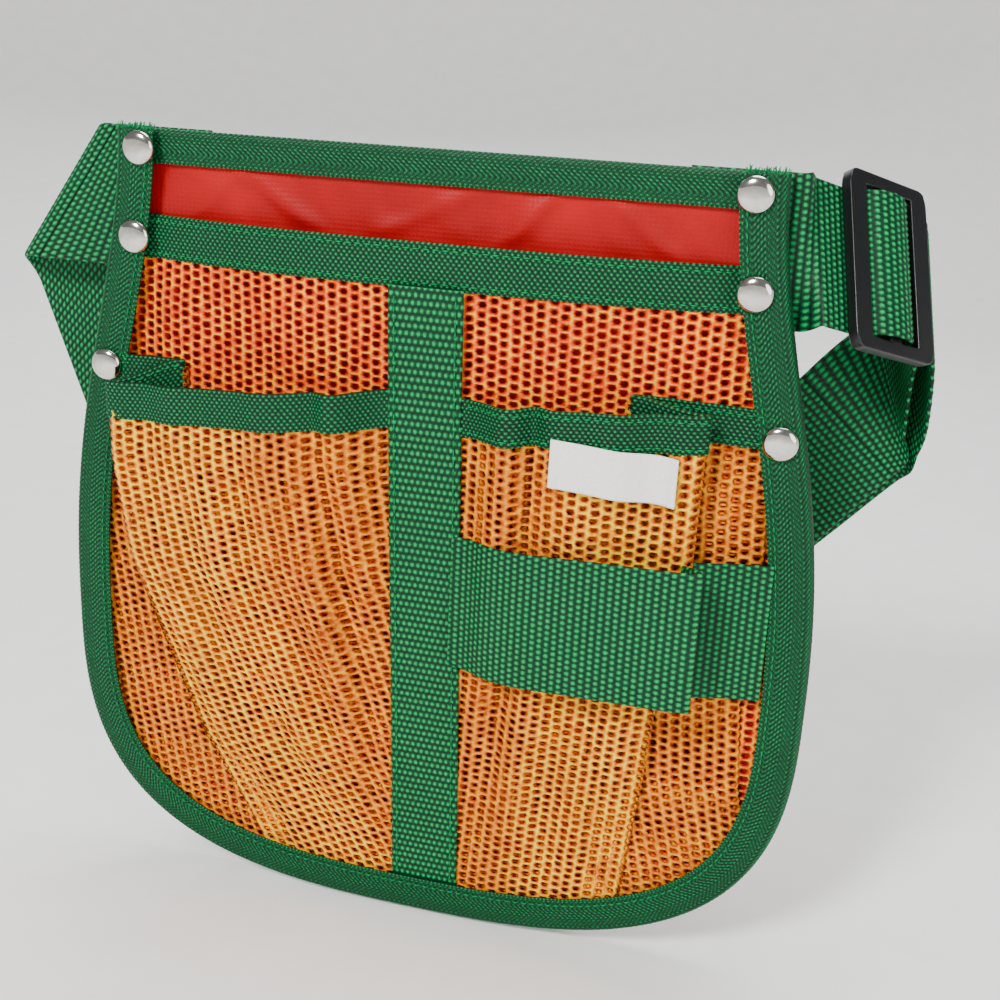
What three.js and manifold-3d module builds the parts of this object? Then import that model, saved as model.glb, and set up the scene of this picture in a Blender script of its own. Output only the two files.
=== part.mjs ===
// Toy tool belt: a net-fronted pouch on a webbing waist belt.
// Millimetres. +X to the right as seen from the front, -Y to the front, +Z up.
// The origin is on the flat rear face of the back panel, at the height of the belt's centre line.
import * as THREE from 'three'
import { mergeVertices } from 'three/addons/utils/BufferGeometryUtils.js'
import Module from 'manifold-3d'

const wasm = await Module()
wasm.setup()

// ---- driving dimensions ----
const gap = 0.3 // between pieces that touch

const pouchHalfWidth = 107 // widest, at the belly
const pouchTopHalfWidth = 88
const pouchHeight = 222
const bellyHeight = 82 // of the widest place above the bottom
const bottomPower = 2.8 // squareness of the rounded bottom
const beltHeight = 203 // of the belt's centre line above the bottom

const panelThickness = 0.5
const netThickness = 0.6
const tapeThickness = 0.7
const webbingThickness = 1.1
const bindingThickness = 0.9
const sideBindingWidth = 11.5
const topBindingWidth = 9

const mouthHeight = 13.5 // open band between the top binding and the upper tape
const upperTapeWidth = 11.7
const pocketTapeWidth = 10
const pocketDrop = 60 // from the pouch's top edge down to the front pockets' top edge
const strapWidth = 20
const strapX = 2.5
const bigPocketDepth = 8
const leftPocketDepth = 12
const rightPocketDepth = 7

const loopWidth = 38
const loopDrop = 99.5 // from the pouch's top edge down to the loop's top edge
const loopDepth = 6.5
const loopTuck = 4 // length of its end under the side binding

const labelWidth = 32
const labelHeight = 12
const labelX = 53.5
const labelThickness = 0.4

const beltWidth = 38
const beltSeat = 26 // length of belt sewn behind the panel
const rivetCapRadius = 4.4
const rivetCapHeight = 1.9
const rivetPostRadius = 1.5
const upperRivetDrop = 5
const middleRivetDrop = 28.3
const lowerRivetDrop = 64.4
const upperRivetInset = 7.8
const middleRivetInset = 8.4
const lowerRivetInset = 6.3

const leftFoldReach = 15 // of the left fold's line past the pouch's edge
const leftFoldTilt = 35 // degrees of the fold line from upright
const leftFoldRadius = 5.5
const leftTailLength = 150
const rightTailLength = 118
const layerSpacing = 1.6 // between the two layers of the doubled belt, middle to middle

const sliderBar = 4
const sliderLength = 29 // along the belt
const sliderThickness = 3.2
const sliderTravel = 4
const sliderStart = 13.5 // along the belt's straight stretch
const sliderSide = 2.6 // width of its two rails

// The curl's rulings and the straight tail's start: past the pouch's edge, behind the panel, and up.
const curlCrest = [35.5, 43, -26]
const curlFall = [32, 49.5, -41]
const tailTop = [20, 46.5, -54]
const tailSlopeDegrees = 47 // of the hanging tail, below level
const tailTurnDegrees = 6 // of its plane, towards the pouch

const buckleThickness = 9
const buckleWall = 1.6
const buckleMargin = 4 // of the buckle past each edge of the belt
const buckleBar = 3.5
const buckleSlot = 4.5
const socketLength = 36
const plugBodyLength = 16
const prongLength = 20
const prongWidth = 4.5
const prongThickness = 5
const prongOffset = 13.5 // of a prong's middle from the plug's middle
const barbReach = 3
const wrapLeg = 12 // length of belt lying on each side of a buckle's bar
const curlLayerGap = 3.5 // how far the two layers part in the curl
const innerLayerRise = 3.5 // how far the inner layer sits above the outer one

// ---- layers, by their y ----
const bottomZ = -beltHeight
const topZ = pouchHeight - beltHeight
const panelFront = -panelThickness
const backNetRear = panelFront - gap
const backNetFront = backNetRear - netThickness
const pocketNetRear = backNetFront - 1.5 * gap
const pocketNetFront = pocketNetRear - netThickness
const coverRear = pocketNetFront - gap
const bindingFrontInner = coverRear - webbingThickness - 2 * gap
const bindingFrontOuter = bindingFrontInner - bindingThickness
const topBindingRear = gap + bindingThickness
const bindingRearInner = topBindingRear + gap
const bindingRearOuter = bindingRearInner + bindingThickness
const beltFront = bindingRearOuter + gap
const beltRear = beltFront + webbingThickness
const beltMiddle = (beltFront + beltRear) / 2

const mouthTop = topZ - topBindingWidth
const upperTapeTop = mouthTop - mouthHeight
const upperTapeBottom = upperTapeTop - upperTapeWidth
const pocketTop = topZ - pocketDrop
const loopTop = topZ - loopDrop
const loopBottom = loopTop - loopWidth
const strapLeft = strapX - strapWidth / 2
const strapRight = strapX + strapWidth / 2

const green = { color: 0x00864f, roughness: 0.75, metalness: 0 }
const netYellow = { color: 0xf0a010, roughness: 0.6, metalness: 0 }
const netOrange = { color: 0xe8781a, roughness: 0.6, metalness: 0 }
const red = { color: 0xc8102e, roughness: 0.5, metalness: 0 }
const black = { color: 0x1c1c20, roughness: 0.4, metalness: 0 }
const nickel = { color: 0xc9c9c6, roughness: 0.2, metalness: 1 }
const white = { color: 0xf2f2ee, roughness: 0.8, metalness: 0 }

const part = new THREE.Group()

function addPiece(name, geometry, material, parent = part) {
  const mesh = new THREE.Mesh(geometry, new THREE.MeshStandardMaterial(material))
  mesh.name = name
  parent.add(mesh)
  return mesh
}

// ---- geometry helpers ----
const smooth = THREE.MathUtils.smoothstep
const radians = THREE.MathUtils.degToRad

function bufferFrom(points, triangles) {
  const geometry = new THREE.BufferGeometry()
  const coordinates = points.flatMap((p) => [p.x, p.y, p.z])
  geometry.setAttribute('position', new THREE.Float32BufferAttribute(coordinates, 3))
  let volume = 0
  for (const [a, b, c] of triangles) {
    volume += points[a].dot(new THREE.Vector3().crossVectors(points[b], points[c]))
  }
  const outward = volume > 0 ? triangles : triangles.map(([a, b, c]) => [a, c, b])
  geometry.setIndex(outward.flat())
  return geometry
}

// A thin closed sheet on a grid: pointAt(u, v, side) gives its two faces, side 0 and side 1.
function sheet(columns, rows, pointAt) {
  const points = []
  const triangles = []
  const across = columns.length
  const along = rows.length
  for (const side of [0, 1]) {
    for (const v of rows) {
      for (const u of columns) points.push(pointAt(u, v, side))
    }
  }
  const at = (i, j, side) => side * across * along + j * across + i
  const quad = (a, b, c, d) => triangles.push([a, b, c], [a, c, d])
  for (let j = 0; j < along - 1; j++) {
    for (let i = 0; i < across - 1; i++) {
      quad(at(i, j, 0), at(i + 1, j, 0), at(i + 1, j + 1, 0), at(i, j + 1, 0))
      quad(at(i, j, 1), at(i, j + 1, 1), at(i + 1, j + 1, 1), at(i + 1, j, 1))
    }
  }
  for (let i = 0; i < across - 1; i++) {
    quad(at(i, 0, 0), at(i, 0, 1), at(i + 1, 0, 1), at(i + 1, 0, 0))
    quad(at(i, along - 1, 0), at(i + 1, along - 1, 0), at(i + 1, along - 1, 1), at(i, along - 1, 1))
  }
  for (let j = 0; j < along - 1; j++) {
    quad(at(0, j, 0), at(0, j + 1, 0), at(0, j + 1, 1), at(0, j, 1))
    quad(at(across - 1, j, 0), at(across - 1, j, 1), at(across - 1, j + 1, 1), at(across - 1, j + 1, 0))
  }
  return bufferFrom(points, triangles)
}

// A closed profile carried along: ringAt(step) gives the ring of points, profile is the same ring flat.
function loft(steps, profile, ringAt) {
  const count = profile.length
  const rings = steps.map(ringAt)
  const points = rings.flat()
  const triangles = []
  for (let k = 0; k < rings.length - 1; k++) {
    for (let i = 0; i < count; i++) {
      const j = (i + 1) % count
      const a = k * count
      triangles.push([a + i, a + j, a + count + j], [a + i, a + count + j, a + count + i])
    }
  }
  const cap = THREE.ShapeUtils.triangulateShape(profile.map(([x, y]) => new THREE.Vector2(x, y)), [])
  const clockwise = THREE.ShapeUtils.isClockWise(profile.map(([x, y]) => new THREE.Vector2(x, y)))
  const last = (rings.length - 1) * count
  for (const [a, b, c] of cap) {
    triangles.push(clockwise ? [a, b, c] : [c, b, a])
    triangles.push(clockwise ? [last + c, last + b, last + a] : [last + a, last + b, last + c])
  }
  return bufferFrom(points, triangles)
}

function toSolid(geometry) {
  const bare = geometry.clone()
  bare.deleteAttribute('normal')
  bare.deleteAttribute('uv')
  const merged = mergeVertices(bare, 1e-4)
  return new wasm.Manifold(new wasm.Mesh({
    numProp: 3,
    vertProperties: merged.attributes.position.array,
    triVerts: new Uint32Array(merged.index.array)
  }))
}

function toGeometry(solid) {
  const mesh = solid.getMesh()
  const geometry = new THREE.BufferGeometry()
  geometry.setAttribute('position', new THREE.BufferAttribute(new Float32Array(mesh.vertProperties), 3))
  geometry.setIndex(new THREE.BufferAttribute(new Uint32Array(mesh.triVerts), 1))
  return geometry
}

const cut = (geometry, tools) => toGeometry(
  tools.reduce((solid, tool) => solid.subtract(toSolid(tool)), toSolid(geometry)))
const join = (geometry, more) => toGeometry(
  more.reduce((solid, tool) => solid.add(toSolid(tool)), toSolid(geometry)))
const steps = (from, to, count) => Array.from({ length: count + 1 }, (_, i) => from + (to - from) * i / count)
const box = (x0, x1, y0, y1, z0, z1) => new THREE.BoxGeometry(x1 - x0, y1 - y0, z1 - z0)
  .translate((x0 + x1) / 2, (y0 + y1) / 2, (z0 + z1) / 2)

// ---- pouch outline ----
// Above the belly the half width eases from belly to top; below it is a quarter of a superellipse.
function outlinePoints() {
  const points = []
  for (const u of steps(1, 0.04, 12)) {
    const ease = u ** 1.3
    const shrink = ease * ease * (3 - 2 * ease)
    const x = pouchHalfWidth + (pouchTopHalfWidth - pouchHalfWidth) * shrink
    points.push([x, bottomZ + bellyHeight + (pouchHeight - bellyHeight) * u])
  }
  for (const degrees of steps(0, 90, 24)) {
    const angle = radians(degrees)
    const c = Math.max(Math.cos(angle), 0) / pouchHalfWidth
    const s = Math.sin(angle) / bellyHeight
    const reach = (c ** bottomPower + s ** bottomPower) ** (-1 / bottomPower)
    points.push([reach * Math.cos(angle), bottomZ + bellyHeight - reach * Math.sin(angle)])
  }
  const last = points.length - 1
  points[last][0] = 0
  return points
}

const rightOutline = outlinePoints()
const outlineNormals = rightOutline.map((_, i) => {
  const before = rightOutline[Math.max(i - 1, 0)]
  const after = rightOutline[Math.min(i + 1, rightOutline.length - 1)]
  const dx = after[0] - before[0]
  const dz = after[1] - before[1]
  const length = Math.hypot(dx, dz)
  return i === rightOutline.length - 1 ? [0, -1] : [-dz / length, dx / length]
})

// The right half of the outline, moved inwards.
const insetRight = (inset) => rightOutline.map(([x, z], i) => [
  x - outlineNormals[i][0] * inset, z - outlineNormals[i][1] * inset
])

function halfWidthAt(z, inset) {
  const side = insetRight(inset)
  for (let i = 0; i < side.length - 1; i++) {
    const [x0, z0] = side[i]
    const [x1, z1] = side[i + 1]
    if (z <= z0 && z >= z1) return x0 + (x1 - x0) * (z0 - z) / (z0 - z1)
  }
  return z > side[0][1] ? side[0][0] : side[side.length - 1][0]
}

// ---- rivets ----
const rivetRows = [
  [upperRivetDrop, upperRivetInset, beltRear],
  [middleRivetDrop, middleRivetInset, beltRear],
  [lowerRivetDrop, lowerRivetInset, bindingRearOuter]
]
const rivets = [-1, 1].flatMap((side) => rivetRows.map(([drop, inset, rear]) => {
  const z = topZ - drop
  return { x: side * (halfWidthAt(z, 0) - inset), z, rear }
}))

function punch(geometry, which = rivets) {
  const holes = which.map(({ x, z }) => {
    const hole = new THREE.CylinderGeometry(rivetPostRadius + gap, rivetPostRadius + gap, 40, 12)
    hole.translate(x, 0, z)
    return hole
  })
  return cut(geometry, holes)
}

// Lathe round Y: profile points are [radius, y].
const turned = (profile, segments) => new THREE.LatheGeometry(
  profile.map(([r, y]) => new THREE.Vector2(r, y)), segments)

function addRivets() {
  rivets.forEach(({ x, z, rear }, i) => {
    const front = bindingFrontOuter - gap
    const back = rear + gap
    const skirt = 0.6
    const dome = steps(0, 90, 5).map((degrees) => {
      const a = radians(degrees)
      return [rivetCapRadius * Math.cos(a), front - skirt - (rivetCapHeight - skirt) * Math.sin(a)]
    })
    dome[dome.length - 1][0] = 0
    const socketRadius = rivetPostRadius - 0.5
    const socketEnd = front - skirt
    const bodyEnd = front + 1.2
    const cap = [
      [0, socketEnd], [socketRadius, socketEnd], [socketRadius, bodyEnd], [rivetPostRadius, bodyEnd],
      [rivetPostRadius, front], [rivetCapRadius, front], ...dome
    ]
    const postTop = socketEnd + gap
    const postRadius = socketRadius - gap
    const shoulder = bodyEnd + gap
    const base = [
      [0, postTop], [postRadius, postTop], [postRadius, shoulder], [rivetPostRadius, shoulder],
      [rivetPostRadius, back], [rivetCapRadius - 0.4, back], [rivetCapRadius - 0.4, back + 0.5],
      [rivetPostRadius, back + 1.2], [0, back + 1.2]
    ]
    const capGeometry = asSolid(turned(cap, 16))
    const baseGeometry = asSolid(turned(base, 16))
    capGeometry.translate(x, 0, z)
    baseGeometry.translate(x, 0, z)
    addPiece(`rivet_cap_${i + 1}`, capGeometry, nickel)
    addPiece(`rivet_base_${i + 1}`, baseGeometry, nickel)
  })
}

// Merges a geometry's vertices and turns it outwards.
function asSolid(geometry) {
  const bare = geometry.clone()
  bare.deleteAttribute('normal')
  bare.deleteAttribute('uv')
  const merged = mergeVertices(bare, 1e-4)
  const p = merged.attributes.position
  const points = Array.from({ length: p.count }, (_, i) => new THREE.Vector3().fromBufferAttribute(p, i))
  const index = merged.index.array
  const triangles = []
  for (let i = 0; i < index.length; i += 3) {
    const [a, b, c] = [index[i], index[i + 1], index[i + 2]]
    if (a !== b && b !== c && c !== a) triangles.push([a, b, c])
  }
  return bufferFrom(points, triangles)
}

// ---- pouch cloth ----
// How far the back net bows forward, 0 at the side binding and at the bottom.
function bow(x, z) {
  const half = Math.max(halfWidthAt(z, sideBindingWidth + 1), 1)
  const across = Math.min(Math.abs(x) / half, 1)
  const up = THREE.MathUtils.clamp((z - bottomZ - topBindingWidth) / (upperTapeTop - bottomZ), 0, 1)
  return (bigPocketDepth - 1) * (1 - across ** 3) * Math.sin(up * Math.PI / 2) ** 1.5
}

// How far a front pocket stands off the back net between its two sides.
function pocketBulge(x, z, side) {
  const inner = side < 0 ? strapLeft - 1 : strapRight + 1
  const outer = side * halfWidthAt(z, sideBindingWidth + 2)
  const u = THREE.MathUtils.clamp((x - inner) / (outer - inner), 0, 1)
  const edge = side < 0 ? 0.12 : 0.16
  const rise = smooth(u, 0, edge * 1.6) * smooth(1 - u, 0, edge)
  const up = THREE.MathUtils.clamp((z - bottomZ - sideBindingWidth) / (pocketTop - bottomZ), 0, 1)
  return (side < 0 ? leftPocketDepth : rightPocketDepth) * rise * Math.sin(up * Math.PI / 2) ** 1.4
}

const backNetY = (x, z) => backNetFront - bow(x, z)
const pocketNetY = (x, z, side) => pocketNetFront - bow(x, z) - pocketBulge(x, z, side)
const clothInset = bindingThickness + gap

// Columns of a front pocket from the centre strap's edge, 0, to its outer edge, 1.
const pocketColumns = [
  0, 0.04, 0.08, 0.12, 0.17, 0.23, 0.3, 0.42, 0.55, 0.68, 0.78, 0.84, 0.88, 0.92, 0.96, 1
]
const pocketEdgeInset = clothInset + 0.3
function pocketX(u, z, side) {
  const inner = side < 0 ? strapLeft - gap : strapRight + gap
  const outer = side * Math.max(halfWidthAt(z, pocketEdgeInset), Math.abs(inner) + 5)
  return inner + (outer - inner) * u
}

const panelRows = [
  0, 0.01, 0.03, 0.06, 0.1, 0.16, 0.24, 0.32, 0.4, 0.48, 0.54, 0.6, 0.66, 0.72, 0.78, 0.84, 0.89, 0.96, 1
]

function addPanels() {
  const panelBottom = bottomZ + clothInset + 0.4
  const panelTop = topZ - clothInset
  const panel = sheet(steps(-1, 1, 9), panelRows, (u, v, side) => {
    const z = panelBottom + (panelTop - panelBottom) * v
    return new THREE.Vector3(u * halfWidthAt(z, pocketEdgeInset), side ? 0 : panelFront, z)
  })
  addPiece('back_panel', punch(panel), red)

  const netInset = pocketEdgeInset
  const netBottom = bottomZ + netInset + 0.2
  const netTop = upperTapeTop - gap - tapeThickness
  const backNet = sheet(steps(-1, 1, 20), steps(netBottom, netTop, 22), (u, z, side) => {
    const x = u * halfWidthAt(z, netInset)
    return new THREE.Vector3(x, backNetY(x, z) + side * netThickness, z)
  })
  addPiece('big_pocket_net', punch(backNet), netOrange)

  for (const side of [-1, 1]) {
    const inner = strapX + side * (gap / 2 + 0.3)
    const top = pocketTop - gap - tapeThickness
    const net = sheet([-1, ...pocketColumns], steps(netBottom, top, 16), (u, z, face) => {
      const x = u < 0 ? inner : pocketX(u, z, side)
      return new THREE.Vector3(x, pocketNetY(x, z, side) + face * netThickness, z)
    })
    addPiece(side < 0 ? 'left_pocket_net' : 'right_pocket_net', punch(net), netYellow)
  }
}

// A tape folded over a net's top edge, swept through columns; xAt and yAt follow the net's front face.
function foldedTape(columns, top, width, xAt, yAt) {
  const profile = [
    [-gap - tapeThickness, -width], [-gap, -width], [-gap, -tapeThickness],
    [netThickness, -tapeThickness], [netThickness, 0], [-gap - tapeThickness, 0]
  ]
  return loft(columns, profile, (u) => profile.map(([dy, dz]) => {
    const x = xAt(u, top + dz)
    return new THREE.Vector3(x, yAt(x, top + dz) + dy, top + dz)
  }))
}

function addTapes() {
  const upper = foldedTape(steps(-1, 1, 20), upperTapeTop, upperTapeWidth,
    (u, z) => u * halfWidthAt(z, pocketEdgeInset), (x, z) => backNetY(x, z) - 0.15)
  addPiece('upper_pocket_tape', punch(upper), green)

  for (const side of [-1, 1]) {
    const tape = foldedTape(pocketColumns, pocketTop, pocketTapeWidth,
      (u, z) => pocketX(u, z, side), (x, z) => pocketNetY(x, z, side) - 0.15)
    addPiece(side < 0 ? 'left_pocket_tape' : 'right_pocket_tape', punch(tape), green)
  }
}

function addStrap() {
  const bottom = bottomZ + sideBindingWidth + gap
  const top = upperTapeBottom - gap
  const strap = sheet(steps(strapLeft, strapRight, 2), steps(bottom, top, 24), (x, z, side) => {
    const y = pocketNetFront - bow(strapX, z) - gap - 0.25
    return new THREE.Vector3(x, y - (1 - side) * webbingThickness, z)
  })
  addPiece('center_strap', strap, green)
}

// The loop stands off the right pocket and lies flat at both of its sewn ends.
function addLoop() {
  const left = strapRight + gap
  const rightAt = (z) => halfWidthAt(z, sideBindingWidth - loopTuck)
  const tucked = (loopTuck + 2) / (rightAt(loopBottom) - left)
  const loop = sheet([0, 0.04, 0.08, 0.13, 0.2, 0.3, 0.42, 0.55, 0.68, 0.76, 0.81, 0.86, 0.9, 0.94, 0.97, 1],
    steps(loopBottom, loopTop, 5), (u, z, side) => {
      const x = left + (rightAt(z) - left) * u
      const rise = smooth(u, 0, 0.2) * smooth(1 - u, tucked, tucked + 0.2)
      const highest = Math.max(pocketBulge(x, loopTop, 1), pocketBulge(x, z, 1))
      const stand = highest * (1 - rise) + (rightPocketDepth + loopDepth) * rise
      const y = pocketNetFront - bow(x, loopTop) - gap - 0.1 - stand
      return new THREE.Vector3(x, y - (1 - side) * webbingThickness, z)
    })
  addPiece('tool_loop', loop, green)
}

function addLabel() {
  const top = pocketTop - pocketTapeWidth - gap
  const columns = steps(labelX - labelWidth / 2, labelX + labelWidth / 2, 8)
  const label = sheet(columns, steps(top - labelHeight, top, 3), (x, z, side) => {
    const y = Math.min(pocketNetY(x, z, 1), pocketNetY(x, top, 1)) - gap
    return new THREE.Vector3(x, y - (1 - side) * labelThickness, z)
  })
  addPiece('blank_label', label, white)
}

// A folded tape that wraps an edge: inset and y of its eight profile corners.
const wrapProfile = (width, yFrontOuter, yRearOuter, wall) => [
  [0, yFrontOuter], [width, yFrontOuter], [width, yFrontOuter + wall], [wall, yFrontOuter + wall],
  [wall, yRearOuter - wall], [width, yRearOuter - wall], [width, yRearOuter], [0, yRearOuter]
]

function addBindings() {
  const profile = wrapProfile(sideBindingWidth, bindingFrontOuter, bindingRearOuter, bindingThickness)
  const insets = profile.map(([inset]) => insetRight(inset))
  const count = rightOutline.length
  const path = [...steps(0, count - 1, count - 1), ...steps(count, 2 * count - 2, count - 2)]
  const binding = loft(path, profile, (k) => profile.map(([, y], i) => {
    const mirrored = k > count - 1
    const [x, z] = insets[i][mirrored ? 2 * count - 2 - k : k]
    return new THREE.Vector3(mirrored ? -x : x, y, z)
  }))
  addPiece('side_binding', punch(binding), green)

  const end = halfWidthAt(topZ, bindingThickness + gap)
  const topProfile = wrapProfile(topBindingWidth, -gap - panelThickness - bindingThickness, topBindingRear,
    bindingThickness)
  const top = loft([-end, end], topProfile, (x) => topProfile.map(([drop, y]) => {
    const z = topZ - drop
    const reach = Math.min(1, halfWidthAt(z, bindingThickness + gap) / end)
    return new THREE.Vector3(x * reach, y, z)
  }))
  addPiece('top_binding', punch(top), green)
}

// ---- belt ----
const exitX = halfWidthAt(0, 0) // where the belt passes the pouch's edge
const half = webbingThickness / 2

// Left: a flat strip folded back round a tilted line.
const leftTilt = radians(leftFoldTilt)
const leftFoldAxis = new THREE.Vector3(-Math.sin(leftTilt), 0, -Math.cos(leftTilt))
const leftFoldOut = new THREE.Vector3(-Math.cos(leftTilt), 0, Math.sin(leftTilt))
const leftFoldX = -(exitX + leftFoldReach)
const leftFoldCentre = new THREE.Vector3(leftFoldX, beltMiddle + leftFoldRadius, 0)
const leftArc = Math.PI * leftFoldRadius

// x and w are on the flat strip, rearward is the distance behind its middle.
function leftBeltPoint(x, w, rearward) {
  const flat = new THREE.Vector3(x, beltMiddle, w)
  const q = flat.clone().sub(leftFoldCentre).dot(leftFoldOut)
  const wound = THREE.MathUtils.clamp(q, 0, leftArc)
  const angle = wound / leftFoldRadius
  const arm = flat.addScaledVector(leftFoldOut, -wound).sub(leftFoldCentre)
  arm.y += rearward
  const turn = new THREE.Vector3().crossVectors(leftFoldOut, new THREE.Vector3(0, 1, 0)).normalize()
  return arm.applyAxisAngle(turn, angle).add(leftFoldCentre)
}

// The place on the flat strip at distance q past the fold line's start, for a point w across it.
const leftStripX = (q, w) => leftFoldX - (q - w * Math.sin(leftTilt)) / Math.cos(leftTilt)

function leftStrip(qs) {
  return sheet(steps(-beltWidth / 2, beltWidth / 2, 4), qs, (w, q, side) => leftBeltPoint(
    typeof q === 'number' ? leftStripX(q, w) : q.x, w, side ? half : -half))
}

const leftSeatX = -(exitX - beltSeat)
const leftTailEnd = leftFoldX - leftArc - leftTailLength

function addLeftBelt() {
  addPiece('left_belt_stub', punch(leftStrip([{ x: leftSeatX }, -gap])), green)
  addPiece('left_belt_fold', leftStrip(steps(0, leftArc, 10)), green)
  addPiece('left_belt_tail', leftStrip([leftArc + gap, { x: leftTailEnd }]), green)
}

// Right: a strip through named rulings, each a centre and the direction of its upper edge.
const alongSlider = new THREE.Vector3(0.665, 0.70, -0.26).normalize()
const acrossSlider = new THREE.Vector3(-0.17, 0.47, 0.86).projectOnPlane(alongSlider).normalize()
const straightFrom = sliderStart - sliderTravel - 2
const straightTo = sliderStart + sliderLength + 2
const sliderPathStart = new THREE.Vector3(exitX + 2.6, beltMiddle - 0.6, 2.0)
const onStraight = (s) => sliderPathStart.clone().addScaledVector(alongSlider, s)
const fromEdge = ([x, y, z]) => new THREE.Vector3(exitX + x, y, z)
const tailSlope = radians(tailSlopeDegrees)
const tailTurn = radians(tailTurnDegrees)
const tailDirection = (level, up) => new THREE.Vector3(
  -level * Math.cos(tailTurn), -level * Math.sin(tailTurn), up)
const tailHeading = tailDirection(Math.cos(tailSlope), -Math.sin(tailSlope))
const tailAcross = tailDirection(Math.sin(tailSlope), Math.cos(tailSlope))
const onTail = (s) => fromEdge(tailTop).addScaledVector(tailHeading, s)

const rulings = [
  [new THREE.Vector3(exitX - beltSeat, beltMiddle, 0), new THREE.Vector3(0, 0, 1)],
  [new THREE.Vector3(exitX - beltSeat / 2, beltMiddle, 0), new THREE.Vector3(0, 0, 1)],
  [new THREE.Vector3(exitX - 3, beltMiddle, 0), new THREE.Vector3(0, 0, 1)],
  [new THREE.Vector3(exitX + 4, beltMiddle + 0.8, 0), new THREE.Vector3(-0.04, 0.04, 1)],
  [onStraight(straightFrom - 2), acrossSlider],
  [onStraight(straightFrom), acrossSlider],
  [onStraight((straightFrom + straightTo) / 2), acrossSlider],
  [onStraight(straightTo), acrossSlider],
  [onStraight(straightTo + 2), acrossSlider],
  [fromEdge(curlCrest), new THREE.Vector3(-0.16, 0.55, 0.8)],
  [fromEdge(curlFall), new THREE.Vector3(-0.3, 0.42, 0.84)],
  [onTail(0), tailAcross],
  [onTail(20), tailAcross],
  [onTail(40), tailAcross],
  [onTail(rightTailLength), tailAcross]
]
const middleLine = new THREE.CatmullRomCurve3(rulings.map(([c]) => c), false, 'centripetal')
const upperLine = new THREE.CatmullRomCurve3(rulings.map(([c, w]) => c.clone().addScaledVector(
  w.clone().normalize(), beltWidth / 2)), false, 'centripetal')
const lastRuling = rulings.length - 1

// k counts rulings; w is across, up positive; rearward is towards the inside of the curl.
function rightBeltFrame(k) {
  const t = k / lastRuling
  const centre = middleLine.getPoint(t)
  const across = upperLine.getPoint(t).sub(centre).normalize()
  const ahead = middleLine.getTangent(t)
  const inside = new THREE.Vector3().crossVectors(across, ahead).normalize()
  return { centre, across, inside, ahead: new THREE.Vector3().crossVectors(inside, across) }
}

function rightStrip(ks, rearwardAt = () => 0, riseAt = () => 0) {
  return sheet(steps(-beltWidth / 2, beltWidth / 2, 4), ks, (w, k, side) => {
    const { centre, across, inside } = rightBeltFrame(k)
    const depth = rearwardAt(k) + (side ? half : -half)
    return centre.addScaledVector(across, w + riseAt(k)).addScaledVector(inside, depth)
  })
}

const curlFrom = 8
const curlTo = 11
const seam = 0.02 // part of a ruling step left open where the strip is divided

// The inner layer lies close at both ends and stands off and up a little through the curl.
const curlHump = (k) => smooth(k, curlFrom - 1, curlFrom + 1.2) * (1 - smooth(k, curlTo, lastRuling - 0.3))
const innerRearward = (k) => layerSpacing + curlLayerGap * curlHump(k)
const innerRise = (k) => innerLayerRise * curlHump(k)

function addRightBelt() {
  const stubSteps = [0, 1, ...steps(2, curlFrom - seam, 16)]
  const returnSteps = steps(curlFrom - 1.8, curlFrom - seam, 8)
  addPiece('right_belt_stub', punch(rightStrip(stubSteps)), green)
  addPiece('right_belt_curl', rightStrip(steps(curlFrom, curlTo, 12)), green)
  addPiece('right_belt_tail', rightStrip(steps(curlTo + seam, lastRuling, 8)), green)
  const innerStrip = (ks) => rightStrip(ks, innerRearward, innerRise)
  addPiece('return_layer_start', innerStrip(returnSteps), green)
  addPiece('return_layer_curl', innerStrip(steps(curlFrom, curlTo, 12)), green)
  addPiece('return_layer_tail', innerStrip(steps(curlTo + seam, lastRuling, 8)), green)
}

// ---- slider ----
// A flat frame with two slots, in its own axes: X along the belt, Y across it, Z out of its front.
const sliderAxes = new THREE.Matrix4().makeBasis(
  alongSlider, acrossSlider, new THREE.Vector3().crossVectors(alongSlider, acrossSlider))
const sliderHalf = sliderLength / 2
const sliderInside = beltWidth / 2 + 0.7
const sliderReach = sliderInside + sliderSide
const sliderMiddle = onStraight(sliderStart + sliderHalf)
const slotLength = (sliderLength - 3 * sliderBar) / 2

// Each corner is a quarter circle of five points.
function roundedRectangle(halfX, halfY, radius) {
  const corners = [[1, 1, 0], [-1, 1, 90], [-1, -1, 180], [1, -1, 270]]
  return new THREE.Shape(corners.flatMap(([sx, sy, start]) => steps(start, start + 90, 4).map((degrees) => {
    const angle = radians(degrees)
    const x = sx * (halfX - radius) + radius * Math.cos(angle)
    return new THREE.Vector2(x, sy * (halfY - radius) + radius * Math.sin(angle))
  })))
}

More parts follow.
